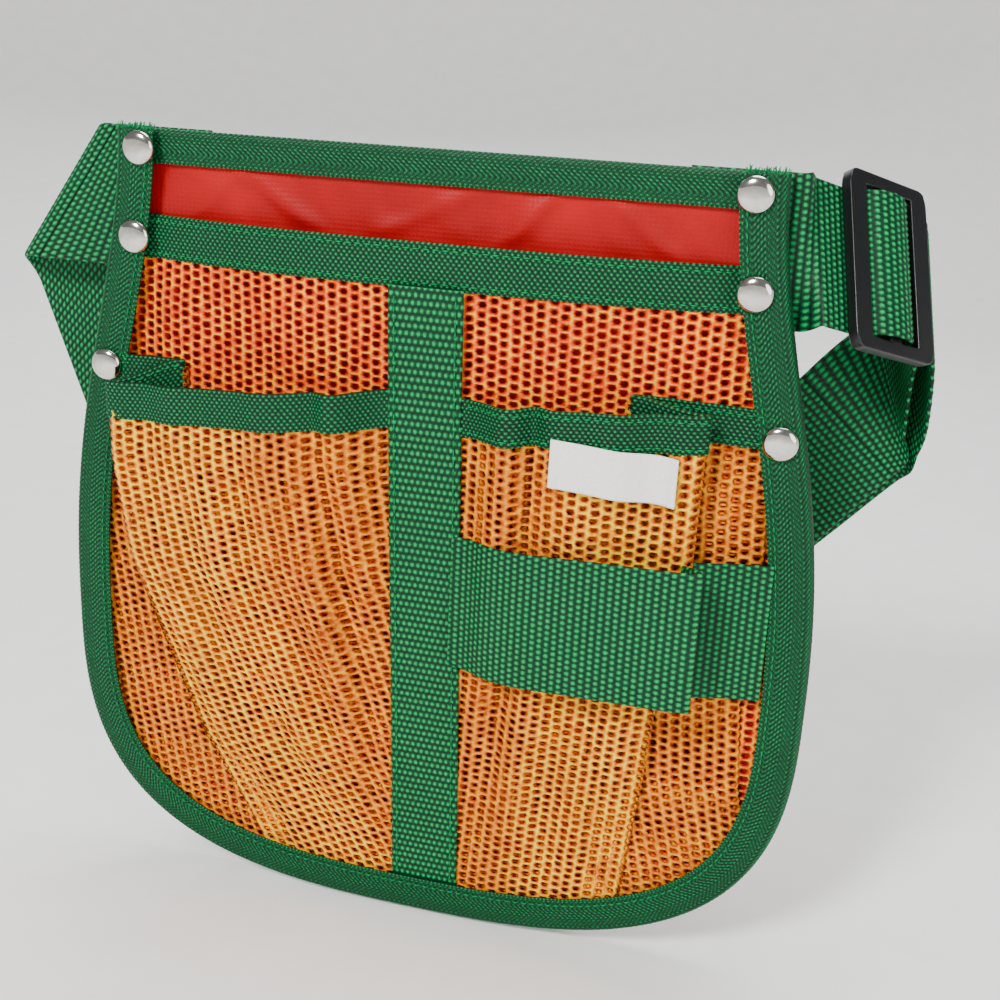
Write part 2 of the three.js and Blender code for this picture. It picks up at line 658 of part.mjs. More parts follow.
function addSlider() {
  const group = new THREE.Group()
  group.applyMatrix4(sliderAxes)
  group.position.copy(sliderMiddle)
  part.add(group)

  const behind = half + gap
  const plate = new THREE.ExtrudeGeometry(roundedRectangle(sliderHalf, sliderReach, 3),
    { depth: sliderThickness, bevelEnabled: false })
  plate.translate(0, 0, behind)
  const slots = [-1, 1].map((side) => {
    const middle = side * (sliderBar + slotLength) / 2
    const depth = behind + sliderThickness + 1
    const slot = box(-slotLength / 2, slotLength / 2, -sliderInside, sliderInside, 0, depth)
    return slot.translate(middle, 0, 0)
  })
  addPiece('slider', cut(plate, slots), black, group)

  // The end of the belt, wrapped round the middle bar and sewn to itself behind it.
  const inner = sliderBar / 2 + gap
  const outer = inner + webbingThickness
  const top = behind + sliderThickness + gap
  const crown = steps(0, 180, 6).map((degrees) => {
    const angle = radians(degrees)
    return new THREE.Vector2(outer * Math.cos(angle), top + webbingThickness * Math.sin(angle))
  })
  const wrap = new THREE.Shape([
    new THREE.Vector2(-outer, behind), new THREE.Vector2(-inner, behind),
    new THREE.Vector2(-inner, top), new THREE.Vector2(inner, top),
    new THREE.Vector2(inner, behind), new THREE.Vector2(outer, behind), ...crown
  ])
  const wrapGeometry = new THREE.ExtrudeGeometry(wrap, { depth: beltWidth, bevelEnabled: false })
  wrapGeometry.rotateX(Math.PI / 2)
  wrapGeometry.translate(0, beltWidth / 2, 0)
  addPiece('slider_wrap', asSolid(wrapGeometry), green, group)
}

// ---- side release buckle ----
// Each half in its own axes: X onwards from the belt's end, Y across it, Z through its thickness.
const buckleReach = beltWidth / 2 + buckleMargin
const prongTop = prongThickness / 2
const guideHalf = 3

function halfBuckleGroup(origin, onwards, across) {
  const group = new THREE.Group()
  const through = new THREE.Vector3().crossVectors(onwards, across)
  group.applyMatrix4(new THREE.Matrix4().makeBasis(onwards, across, through))
  group.position.copy(origin)
  part.add(group)
  return group
}

const slotInside = beltWidth / 2 + 1
const slotBox = () => box(
  buckleBar, buckleBar + buckleSlot, -slotInside, slotInside, -buckleThickness, buckleThickness)
// Thins the bar so that the belt wrapped round it stays inside the buckle's thickness.
const barHalf = 1.4
const barCuts = () => [-1, 1].map((side) => {
  const z = [side * barHalf, side * buckleThickness]
  return box(-1, buckleBar + 0.1, -slotInside, slotInside, Math.min(...z), Math.max(...z))
})

// The belt's end wrapped round the bar: a U of webbing, open towards the belt.
function addBarWrap(name, group) {
  const inner = barHalf + gap
  const outer = inner + webbingThickness
  const reach = buckleBar + gap
  const u = new THREE.Shape([
    new THREE.Vector2(-wrapLeg, inner), new THREE.Vector2(reach, inner), new THREE.Vector2(reach, -inner),
    new THREE.Vector2(-wrapLeg, -inner), new THREE.Vector2(-wrapLeg, -outer),
    new THREE.Vector2(reach + webbingThickness, -outer), new THREE.Vector2(reach + webbingThickness, outer),
    new THREE.Vector2(-wrapLeg, outer)
  ])
  const geometry = new THREE.ExtrudeGeometry(u, { depth: beltWidth, bevelEnabled: false })
  geometry.rotateX(Math.PI / 2)
  geometry.translate(0, beltWidth / 2, 0)
  addPiece(name, asSolid(geometry), green, group)
}

function addSocket() {
  const end = leftBeltPoint(leftTailEnd, 0, 0)
  const onwards = leftBeltPoint(leftTailEnd - 10, 0, 0).sub(end).normalize()
  const across = leftBeltPoint(leftTailEnd, 10, 0).sub(end).normalize()
  const group = halfBuckleGroup(end.addScaledVector(onwards, gap), onwards, across)
  const top = buckleThickness / 2
  const shell = new THREE.ExtrudeGeometry(roundedRectangle(socketLength / 2, buckleReach, 4),
    { depth: buckleThickness, bevelEnabled: false })
  shell.translate(socketLength / 2, 0, -top)
  const cavityStart = buckleBar + buckleSlot + 3
  const sideWall = buckleReach - buckleWall * 1.6
  const hollow = top - buckleWall
  const windowHalf = prongTop + 0.4
  const window = box(
    cavityStart + 4, cavityStart + 15, -buckleReach - 1, buckleReach + 1, -windowHalf, windowHalf)
  const cavity = box(cavityStart, socketLength + 1, -sideWall, sideWall, -hollow, hollow)
  addPiece('buckle_socket', cut(shell, [slotBox(), ...barCuts(), cavity, window]), black, group)
  addBarWrap('socket_wrap', group)
}

function addPlug() {
  const { centre, across, ahead, inside } = rightBeltFrame(lastRuling)
  const origin = centre.addScaledVector(ahead, gap).addScaledVector(inside, layerSpacing / 2)
  const group = halfBuckleGroup(origin, ahead, across)
  const top = buckleThickness / 2
  const plate = new THREE.ExtrudeGeometry(roundedRectangle(plugBodyLength / 2, buckleReach, 4),
    { depth: buckleThickness, bevelEnabled: false })
  plate.translate(plugBodyLength / 2, 0, -top)
  const body = join(cut(plate, [slotBox(), ...barCuts()]), [
    box(plugBodyLength - 1, plugBodyLength + prongLength * 0.75, -guideHalf, guideHalf, -prongTop, prongTop)
  ])
  addPiece('buckle_plug', body, black, group)
  addBarWrap('plug_wrap', group)

  for (const side of [-1, 1]) {
    const root = plugBodyLength + 0.9
    const tip = plugBodyLength + prongLength
    const inner = prongOffset - prongWidth / 2
    const outer = prongOffset + prongWidth / 2
    const outline = [
      [root, inner], [tip - 3, inner], [tip, inner + 1], [tip, outer], [tip - 6, outer + barbReach],
      [tip - 9, outer + barbReach], [tip - 9, outer], [root, outer]
    ].map(([x, y]) => new THREE.Vector2(x, side * y))
    const prong = new THREE.ExtrudeGeometry(new THREE.Shape(outline),
      { depth: prongThickness, bevelEnabled: false })
    prong.translate(0, 0, -prongTop)
    addPiece(side < 0 ? 'lower_prong' : 'upper_prong', asSolid(prong), black, group)
  }
}

addPanels()
addTapes()
addStrap()
addLoop()
addLabel()
addBindings()
addRivets()
addLeftBelt()
addRightBelt()
addSlider()
addSocket()
addPlug()

export default part
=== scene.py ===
import math
import bpy
import bmesh
import numpy as np
from mathutils import Matrix, Vector


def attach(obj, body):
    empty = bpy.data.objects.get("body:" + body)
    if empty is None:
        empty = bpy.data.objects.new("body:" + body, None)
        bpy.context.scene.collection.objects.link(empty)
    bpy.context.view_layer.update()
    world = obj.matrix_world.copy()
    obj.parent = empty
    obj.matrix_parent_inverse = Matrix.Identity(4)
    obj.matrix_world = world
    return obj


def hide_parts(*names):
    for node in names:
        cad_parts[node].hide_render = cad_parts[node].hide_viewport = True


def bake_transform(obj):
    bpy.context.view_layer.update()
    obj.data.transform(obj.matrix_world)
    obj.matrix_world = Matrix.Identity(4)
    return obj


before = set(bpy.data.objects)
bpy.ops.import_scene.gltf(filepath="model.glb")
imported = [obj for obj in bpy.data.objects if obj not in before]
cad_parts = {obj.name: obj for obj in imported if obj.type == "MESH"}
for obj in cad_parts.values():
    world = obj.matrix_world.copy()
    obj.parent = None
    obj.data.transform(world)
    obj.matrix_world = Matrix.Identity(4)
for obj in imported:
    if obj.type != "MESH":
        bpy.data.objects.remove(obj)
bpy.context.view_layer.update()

# camera: standing a little to the right of the pouch and looking down at it, slightly turned
view = {"position": (0.1085, -0.336, 0.0475), "right": (0.962, 0.268, 0.047), "up": (-0.130, 0.301, 0.945),
        "lens": 49.24}


def addCamera():
    right = Vector(view["right"]).normalized()
    up = Vector(view["up"])
    up = (up - right * up.dot(right)).normalized()
    turn = Matrix((right, up, right.cross(up))).transposed().to_4x4()
    data = bpy.data.cameras.new("camera")
    data.lens = view["lens"]
    data.sensor_width = 36
    camera = bpy.data.objects.new("camera", data)
    camera.matrix_world = Matrix.Translation(view["position"]) @ turn
    bpy.context.collection.objects.link(camera)
    bpy.context.scene.camera = camera


addCamera()
print("camera placed")


# ---- materials ----

def toLinear(code):
    # sRGB hex to linear: each channel over 255, then the sRGB curve undone.
    channels = np.array([int(code[i:i + 2], 16) for i in (1, 3, 5)]) / 255
    linear = np.where(channels <= 0.04045, channels / 12.92, ((channels + 0.055) / 1.055) ** 2.4)
    return (*linear.tolist(), 1)


def addNode(tree, kind, inputs=None, **settings):
    node = tree.nodes.new(kind)
    for key, value in settings.items():
        setattr(node, key, value)
    for key, value in (inputs or {}).items():
        if isinstance(value, bpy.types.NodeSocket):
            tree.links.new(value, node.inputs[key])
        else:
            node.inputs[key].default_value = value
    return node


def newMaterial(name, inputs, **fixed):
    # A Principled material. inputs is called with the tree and gives the linked sockets.
    material = bpy.data.materials.new(name)
    material.use_nodes = True
    tree = material.node_tree
    tree.nodes.clear()
    shader = addNode(tree, "ShaderNodeBsdfPrincipled", {**fixed, **inputs(tree)})
    addNode(tree, "ShaderNodeOutputMaterial", {"Surface": shader.outputs[0]})
    return material


def objectPlace(tree):
    return addNode(tree, "ShaderNodeTexCoord").outputs["Object"]


def threadMaterial(name, look):
    # Woven or knitted thread: by the relief attribute its colour runs from painted shade in the deep places
    # to a painted highlight on the crests, with a slow uneven dye over it and a fine fibre bump.
    def inputs(tree):
        place = objectPlace(tree)
        relief = addNode(tree, "ShaderNodeAttribute", attribute_name="relief").outputs["Fac"]
        dye = addNode(tree, "ShaderNodeTexNoise", {"Vector": place, "Scale": look["dyeScale"], "Detail": 3.0})
        fibre = addNode(tree, "ShaderNodeTexNoise",
                        {"Vector": place, "Scale": look["fibreScale"], "Detail": 2.0})
        jitter = addNode(tree, "ShaderNodeMath", {0: fibre.outputs["Fac"], 1: 0.5}, operation="SUBTRACT")
        spread = addNode(tree, "ShaderNodeMath",
                         {0: jitter.outputs[0], 1: look["fibreSpread"], 2: relief}, operation="MULTIPLY_ADD")
        ramp = addNode(tree, "ShaderNodeValToRGB", {"Fac": spread.outputs[0]})
        points = ramp.color_ramp.elements
        # the deep colour is painted shade and the crest colour a painted highlight
        points[0].position, points[0].color = 0.08, toLinear(look["deep"])
        points[1].position, points[1].color = 0.95, toLinear(look["crest"])
        middle = points.new(0.5)
        middle.color = toLinear(look["body"])
        shade = addNode(tree, "ShaderNodeMapRange",
                        {"Value": dye.outputs["Fac"], "From Min": 0.3, "From Max": 0.7,
                         "To Min": look["darkest"], "To Max": 1.0})
        scaled = addNode(tree, "ShaderNodeVectorMath", {0: ramp.outputs["Color"]}, operation="SCALE")
        tree.links.new(shade.outputs["Result"], scaled.inputs["Scale"])
        bump = addNode(tree, "ShaderNodeBump", {"Height": fibre.outputs["Fac"], "Strength": look["bump"],
                                                "Distance": 0.0002})
        return {"Base Color": scaled.outputs[0], "Normal": bump.outputs["Normal"]}
    return newMaterial(name, inputs, **{"Roughness": look["roughness"], "IOR": 1.5,
                                        "Specular IOR Level": 0.18, "Sheen Weight": look["sheen"],
                                        "Sheen Roughness": 0.4})


# Polypropylene webbing, spun yarn: beads over deep gaps, with a painted highlight on the beads and painted
# shade in the gaps, and a dull plastic shine.
webbingLook = {"deep": "#001209", "body": "#004224", "crest": "#00a052", "dyeScale": 30.0,
               "fibreScale": 1800.0, "fibreSpread": 0.5, "darkest": 0.86, "roughness": 0.55, "sheen": 0.0,
               "bump": 0.35}
webbing = threadMaterial("wovenPolypropyleneWebbing", webbingLook)
# Polypropylene tape in a herringbone weave: finer, flatter and a little duller than the webbing.
# its deep colour is painted shade and its crest colour a painted highlight, as on the webbing
tape = threadMaterial("herringbonePolypropyleneTape",
                      {**webbingLook, "deep": "#001a0c", "body": "#004826", "crest": "#009650", "bump": 0.3})
# Knitted nylon net, glossy filament: orange where one layer lies over the red, yellow where it is doubled.
# In both nets the deep colour is painted shade at the hole rims and the crest colour a painted highlight on
# the threads.
netLook = {"deep": "#b42600", "body": "#ec5600", "crest": "#ffb800", "dyeScale": 60.0, "fibreScale": 900.0,
           "fibreSpread": 0.9, "darkest": 0.82, "roughness": 0.4, "sheen": 0.0, "bump": 0.5}
backNetThread = threadMaterial("knittedNylonNetOrange", netLook)
frontNetThread = threadMaterial("knittedNylonNetYellow",
                                {**netLook, "deep": "#b84600", "body": "#f09200", "crest": "#ffe000"})


def nylonInputs(tree):
    # Plain-woven nylon: two crossed fine waves for the weave and a slow noise for its uneven lie.
    place = objectPlace(tree)
    waves = [addNode(tree, "ShaderNodeTexWave", {"Vector": place, "Scale": 260.0, "Distortion": 0.6},
                     bands_direction=way) for way in ("X", "Z")]
    weave = addNode(tree, "ShaderNodeMath", {0: waves[0].outputs["Fac"], 1: waves[1].outputs["Fac"]},
                    operation="MULTIPLY")
    lie = addNode(tree, "ShaderNodeTexNoise", {"Vector": place, "Scale": 45.0, "Detail": 4.0})
    ramp = addNode(tree, "ShaderNodeValToRGB", {"Fac": lie.outputs["Fac"]})
    ramp.color_ramp.elements[0].color = toLinear("#7c0003")
    ramp.color_ramp.elements[1].color = toLinear("#ac0006")
    ramp.color_ramp.elements[0].position = 0.1
    ramp.color_ramp.elements[1].position = 0.8
    bump = addNode(tree, "ShaderNodeBump", {"Height": weave.outputs[0], "Strength": 0.25, "Distance": 0.0002})
    return {"Base Color": ramp.outputs["Color"], "Normal": bump.outputs["Normal"]}


# Coated plain-woven nylon: a soft sheen that lights up along each pucker.
redNylon = newMaterial("coatedWovenNylon", nylonInputs, Roughness=0.5, IOR=1.5, **{"Specular IOR Level": 0.2})


def grainInputs(low, high, scale, strength, distance):
    # A fine grain: one noise for the colour between low and high, and the same noise as a bump.
    def inputs(tree):
        grain = addNode(tree, "ShaderNodeTexNoise",
                        {"Vector": objectPlace(tree), "Scale": scale, "Detail": 4.0})
        ramp = addNode(tree, "ShaderNodeValToRGB", {"Fac": grain.outputs["Fac"]})
        ramp.color_ramp.elements[0].color = toLinear(low)
        ramp.color_ramp.elements[1].color = toLinear(high)
        bump = addNode(tree, "ShaderNodeBump", {"Height": grain.outputs["Fac"], "Strength": strength,
                                                "Distance": distance})
        return {"Base Color": ramp.outputs["Color"], "Normal": bump.outputs["Normal"]}
    return inputs


# Nickel plate on a pressed steel cap: a clear mirror with faint tumbling marks.
nickel = newMaterial("nickelPlatedSteel", grainInputs("#b9b4aa", "#dedad2", 700.0, 0.05, 0.0001),
                     Metallic=1.0, Roughness=0.13)
# Moulded acetal: black, half gloss, with the mould's fine spark grain.
acetal = newMaterial("mouldedBlackAcetal", grainInputs("#050506", "#0d0e10", 900.0, 0.12, 0.0001),
                     Roughness=0.32, IOR=1.48)
# Damask-woven satin label, left blank: off white with fine ribs of thread.
satinLabel = newMaterial("wovenSatinLabel", grainInputs("#dcdad5", "#f6f5f1", 1500.0, 0.3, 0.0001),
                         Roughness=0.6, IOR=1.5)
print("materials made")


# ---- shapes ----

def smooth(value, low, high):
    t = np.clip((value - low) / (high - low), 0, 1)
    return t * t * (3 - 2 * t)


def addMesh(name, points, faces, material, relief=None):
    # points are in millimetres in the frame's own axes; faces are rows of indices, or lists of such rows.
    mesh = bpy.data.meshes.new(name)
    groups = faces if isinstance(faces, list) else [faces]
    mesh.from_pydata((np.asarray(points).reshape(-1, 3) * 0.001).tolist(), [],
                     [row for group in groups for row in np.asarray(group).tolist()])
    mesh.materials.append(material)
    mesh.polygons.foreach_set("use_smooth", np.ones(len(mesh.polygons), bool))
    if relief is not None:
        attribute = mesh.attributes.new("relief", "FLOAT", "POINT")
        attribute.data.foreach_set("value", np.asarray(relief, np.float32).ravel())
    mesh.update()
    thing = bpy.data.objects.new(name, mesh)
    bpy.context.collection.objects.link(thing)
    return thing


def loftFaces(rows, ring):
    # Quads of a closed ring carried along rows of points, and a cap at each end.
    index = np.arange(rows * ring).reshape(rows, ring)
    nextInRing = np.roll(index, -1, 1)
    quads = np.stack([index[:-1], nextInRing[:-1], nextInRing[1:], index[1:]], -1).reshape(-1, 4)
    return [quads, index[:1, ::-1], index[-1:]]


def addLoft(name, rings, material, relief=None):
    # rings is rows x ring x 3. If the solid comes out inside out, every ring is turned round first.
    rings = np.asarray(rings, float)
    middle = rings.mean(1, keepdims=True)
    turned = np.cross(rings[:-1] - middle[:-1], np.roll(rings, -1, 1)[:-1] - middle[:-1])
    ahead = (middle[1:] - middle[:-1])
    if (turned * ahead).sum() < 0:
        rings = rings[:, ::-1]
        relief = None if relief is None else np.asarray(relief)[:, ::-1]
    return addMesh(name, rings, loftFaces(*rings.shape[:2]), material, relief)


# the webbing of the belt and the loop, and the steps of its mesh across and along, in millimetres
webbingCut = {"width": 38.0, "half": 19.0, "thickness": 1.5, "across": 0.41, "along": 0.4}


# Weaves: each gives the height of the surface, 0 to 1, at a across and b along the cloth, in millimetres.

def webbingWeave(a, b):
    # ribs across the webbing 2 mm apart, each a row of beads 1.65 mm apart, every other row half a bead on
    row = np.floor(b / 2.0 + 0.5)
    bead = np.abs(np.cos(np.pi * (a / 1.65 + 0.5 * row)))
    return np.abs(np.cos(np.pi * b / 2.0)) ** 0.8 * (0.2 + 0.8 * bead)


def herringboneWeave(a, b):
    # slanted ribs that turn at each 3 mm zone, each cut into threads
    slant = np.abs((a / 3) % 2 - 1) * 3
    rib = 0.5 + 0.5 * np.cos(2 * np.pi * (b + 1.2 * slant) / 1.5)
    return rib * (0.72 + 0.28 * np.cos(2 * np.pi * a / 0.75))


def tapeWeave(a, b):
    # short floats in staggered rows 0.95 mm apart
    row = np.floor(a / 0.95 + 0.5)
    floats = 0.5 + 0.5 * np.cos(2 * np.pi * (b / 1.5 + 0.5 * row))
    return np.abs(np.cos(np.pi * a / 0.95)) ** 0.7 * floats


def stripRings(place, width, along, thickness, weave, acrossStep, depth=0.35):
    # A flat woven strip. place(a, b) gives its middle surface and normal; both faces carry the weave, and
    # the selvedges thin to a rounded edge.
    a, b = np.meshgrid(np.linspace(-width / 2, width / 2, int(round(width / acrossStep)) + 1), along)
    points, normals = place(a, b)
    height = weave(a, b)
    edge = 1 - 0.6 * np.clip(np.abs(2 * a / width), 0, 1) ** 60
    lift = (thickness / 2 - depth * (1 - height)) * edge
    front = points + normals * lift[..., None]
    back = points - normals * lift[..., None]
    rings = np.concatenate([front, back[:, ::-1]], 1)
    return rings, np.concatenate([height, height[:, ::-1]], 1)


def rounded(points, times=3):
    # Chaikin's corner cutting: each corner is replaced by points a quarter of the way along its two sides.
    points = np.asarray(points, float)
    for _ in range(times):
        cut = np.stack([0.75 * points[:-1] + 0.25 * points[1:], 0.25 * points[:-1] + 0.75 * points[1:]], 1)
        points = np.concatenate([points[:1], cut.reshape(-1, 3), points[-1:]])
    return points


def pathPlace(points, down, offset=0.0):
    # A strip whose upper edge follows points and whose width hangs along down. Gives place and length.
    steps = np.linalg.norm(np.diff(points, axis=0), axis=1)
    length = np.concatenate([[0], np.cumsum(steps)])
    down = np.asarray(down, float) / np.linalg.norm(down)

    def place(a, b):
        centre = np.stack([np.interp(b, length, points[:, i]) for i in range(3)], -1)
        ahead = np.stack([np.interp(b + 0.4, length, points[:, i]) - np.interp(b - 0.4, length, points[:, i])
                          for i in range(3)], -1)
        normal = np.cross(down, ahead)
        normal /= np.linalg.norm(normal, axis=-1, keepdims=True)
        return centre + down * (a[..., None] + offset), normal
    return place, length[-1]


# ---- pouch outline ----
pouch = {"halfWidth": 107.0, "topHalfWidth": 88.0, "top": 19.0, "bottom": -203.0, "belly": 82.0, "power": 2.8,
         "pocketTop": -41.0, "tapeTop": -3.5, "sideBinding": 11.5,
         "panelFront": -0.5, "backNetFront": -1.4, "pocketNetFront": -2.45, "bindingFront": -5.35,
         "bindingRear": 2.4, "bigDepth": 8.0, "strapLeft": -7.5, "strapRight": 12.5}


def outlineRight():
    # Above the belly the half width eases from belly to top; below it is a quarter superellipse.
    u = np.linspace(1, 0.02, 50)
    ease = u ** 1.3
    x = pouch["halfWidth"] + (pouch["topHalfWidth"] - pouch["halfWidth"]) * ease * ease * (3 - 2 * ease)
    z = pouch["bottom"] + pouch["belly"] + (pouch["top"] - pouch["bottom"] - pouch["belly"]) * u
    angle = np.radians(np.linspace(0, 90, 100))
    c = np.maximum(np.cos(angle), 0) / pouch["halfWidth"]
    s = np.sin(angle) / pouch["belly"]
    reach = (c ** pouch["power"] + s ** pouch["power"]) ** (-1 / pouch["power"])
    xs = np.concatenate([x, reach * np.cos(angle)])
    zs = np.concatenate([z, pouch["bottom"] + pouch["belly"] - reach * np.sin(angle)])
    xs[-1] = 0
    return xs, zs


outlineX, outlineZ = outlineRight()
slopeX, slopeZ = np.gradient(outlineX), np.gradient(outlineZ)
slopeSize = np.hypot(slopeX, slopeZ)
normalX, normalZ = -slopeZ / slopeSize, slopeX / slopeSize
normalX[-1], normalZ[-1] = 0, -1


def halfWidth(z, inset):
    x, y = outlineX - normalX * inset, outlineZ - normalZ * inset
    order = np.argsort(y)
    return np.interp(z, y[order], x[order])


def upward(z, start, end):
    return np.sin(np.clip((z - start) / (end - start), 0, 1) * np.pi / 2)


def bow(x, z):
    # How far the back net bows forward: 1 - |x|^3 across, a sine to the power 1.5 upwards.
    half = np.maximum(halfWidth(z, pouch["sideBinding"] + 1), 1)
    across = np.minimum(np.abs(x) / half, 1)
    rise = upward(z, pouch["bottom"] + 9, pouch["tapeTop"] + 9) ** 1.5
    return (pouch["bigDepth"] - 1) * (1 - across ** 3) * rise


# ---- nets ----
# columns of holes 3.1 mm apart, 2.4 mm from hole to hole, every other column half a hole on
netKnit = {"column": 3.1, "pitch": 2.4, "holeWide": 0.80, "holeTall": 0.62, "thread": 0.3}


def honeycomb(uRange, zRange):
    # Centres of the cells in the cloth, and the two rings of six corners each has round its centre.
    column, pitch = netKnit["column"], netKnit["pitch"]
    i = np.arange(math.ceil(uRange[0] / column), math.floor(uRange[1] / column) + 1)
    j = np.arange(math.ceil(zRange[0] / pitch), math.floor(zRange[1] / pitch))
    ii, jj = np.meshgrid(i, j, indexing="ij")
    centres = np.stack([ii * column, (jj + 0.5 * (ii % 2)) * pitch], -1).reshape(-1, 2)
    short = (column ** 2 - (pitch / 2) ** 2) / (2 * column)
    wide, half = column - short, pitch / 2
    corners = np.array([[wide, 0], [short, half], [-short, half],
                        [-wide, 0], [-short, -half], [short, -half]])
    angle = np.radians(np.arange(6) * 60)
    hole = np.stack([np.cos(angle) * netKnit["holeWide"], np.sin(angle) * netKnit["holeTall"] * 1.1], -1)
    return centres, corners, hole


def addNet(name, surface, keep, uRange, zRange, material, tone=None):
    # A knitted net on surface(u, z): each cell is a hole whose rim lies in the middle of the cloth, and the
    # thread between two holes rises to a crest on both faces. Cells where keep(u, z) is false are left out,
    # and tone(u, z), 0 to 1, is how bright the thread is.
    centres, corners, hole = honeycomb(uRange, zRange)
    centres = centres[keep(centres[:, 0], centres[:, 1])]
    outer = centres[:, None] + corners
    phase = np.sin(centres[:, 0] * 12.9898 + centres[:, 1] * 78.233) * 43758.5453
    chance = phase - np.floor(phase)
    size = (0.82 + 0.36 * chance)[:, None, None]
    lean = np.stack([0.25 * np.sin(chance * 40), 0.15 * np.cos(chance * 57)], -1)[:, None]
    inner = centres[:, None] + hole * size + lean
    key = np.round(outer.reshape(-1, 2) * 50).astype(np.int64)
    _, first, index = np.unique(key[:, 0] * 4000037 + key[:, 1], return_index=True, return_inverse=True)
    shared = outer.reshape(-1, 2)[first]
    index = index.reshape(-1, 6)
    count, cells = len(shared), len(centres)
    rim = 2 * count + np.arange(cells * 6).reshape(cells, 6)
    after = np.roll(index, -1, 1)
    rimAfter = np.roll(rim, -1, 1)
    front = np.stack([index, after, rimAfter, rim], -1).reshape(-1, 4)
    back = np.stack([after + count, index + count, rim, rimAfter], -1).reshape(-1, 4)
    edges = np.stack([index, after], -1).reshape(-1, 2)
    pair = np.sort(edges, 1)
    _, where, times = np.unique(pair[:, 0] * (count + 1) + pair[:, 1], return_index=True, return_counts=True)
    rimEdges = edges[where[times == 1]]
    side = np.stack([rimEdges[:, 1], rimEdges[:, 0], rimEdges[:, 0] + count, rimEdges[:, 1] + count], -1)
    cloth = np.concatenate([shared, inner.reshape(-1, 2)])
    points = surface(cloth[:, 0], cloth[:, 1])
    alongU = surface(cloth[:, 0] + 0.2, cloth[:, 1]) - surface(cloth[:, 0] - 0.2, cloth[:, 1])
    alongZ = surface(cloth[:, 0], cloth[:, 1] + 0.2) - surface(cloth[:, 0], cloth[:, 1] - 0.2)
    normal = np.cross(alongU, alongZ)
    normal /= np.linalg.norm(normal, axis=1, keepdims=True)
    crest = netKnit["thread"] * (0.75 + 0.5 * np.abs(np.sin(shared[:, 0] * 3.1 + shared[:, 1] * 1.7)))
    fronts = points[:count] + normal[:count] * crest[:, None]
    backs = points[:count] - normal[:count] * crest[:, None]
    # The crest corners get a painted highlight of random strength, the glint, and the hole rims painted shade
    # at 0.05.
    glint = np.modf(np.abs(np.sin(shared[:, 0] * 7.13 + shared[:, 1] * 3.77)) * 43.7)[0]
    bright = (1.0 if tone is None else tone(shared[:, 0], shared[:, 1])) * (0.5 + 0.5 * glint)
    relief = np.concatenate([bright, bright, np.full(cells * 6, 0.05)])
    allPoints = np.concatenate([fronts, backs, points[count:]])
    return addMesh(name, allPoints, [front, back, side], material, relief)


def backNetSurface(u, z):
    # The bow, with soft folds that run down and inwards from the upper corners.
    drape = 1.1 * np.sin((u + 0.35 * z) / 7.5) * np.exp(-((np.abs(u) - 62) / 22) ** 2) * upward(z, -90, -20)
    ripple = 0.5 * np.sin(u / 6.1 + 1.3) * upward(z, -195, -60)
    edge = smooth(halfWidth(z, pouch["sideBinding"] + 2) - np.abs(u), 0, 8) * smooth(-z, 15, 27)
    y = pouch["backNetFront"] + 0.3 - bow(u, z) - np.maximum(drape + ripple, -0.4) * edge
    return np.stack([u, y, z], -1)


def insideBinding(x, z, inset=2.5):
    return (np.abs(x) < halfWidth(z, inset)) & (z > pouch["bottom"] + 3)


def underTape(u, z):
    return insideBinding(u, z) & (z < pouch["tapeTop"] - 1)


backNet = addNet("bigPocketNet", backNetSurface, underTape, (-104, 104), (-200, -4), backNetThread)
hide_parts("big_pocket_net")

# A front pocket: one cloth with two folds at its outer side, so that it opens like a bellows. foldX is the
# front fold's line from top to bottom, foldDrop how far its top edge dips there and strapDrop at the strap.
# baseDrop is the same at the side, pleat the width folded back under the front, creaseX a second fold's line
# over the front, and doubled how far from the front fold the cloth looks double.
leftPocket = {"side": -1, "heights": [-203, -189.6, -154, -94, -62, -38],
              "foldX": [-44, -48, -65, -83, -87, -87], "creaseX": [-6, -8, -13, -21, -25, -26],
              "depth": 12.0, "foldDrop": 6.5, "strapDrop": 1.0, "baseDrop": 0.0, "pleat": 19.0,
              "doubled": 42.0}
rightPocket = {"side": 1, "heights": [-203, -189.6, -154, -117, -80, -38],
               "foldX": [62, 62, 65, 68, 74, 75], "creaseX": [14, 16, 21, 27, 30, 32],
               "depth": 8.5, "foldDrop": -2.5, "strapDrop": 1.5, "baseDrop": -4.5, "pleat": 20.0,
               "doubled": 34.0}
roundest = 0.7  # radius of a fold where the pocket is deep enough for it


def pocketDepth(pocket, z):
    return np.maximum(pocket["depth"] * upward(z, pouch["bottom"] + 12, pouch["pocketTop"] + 12) ** 1.2, 0.7)


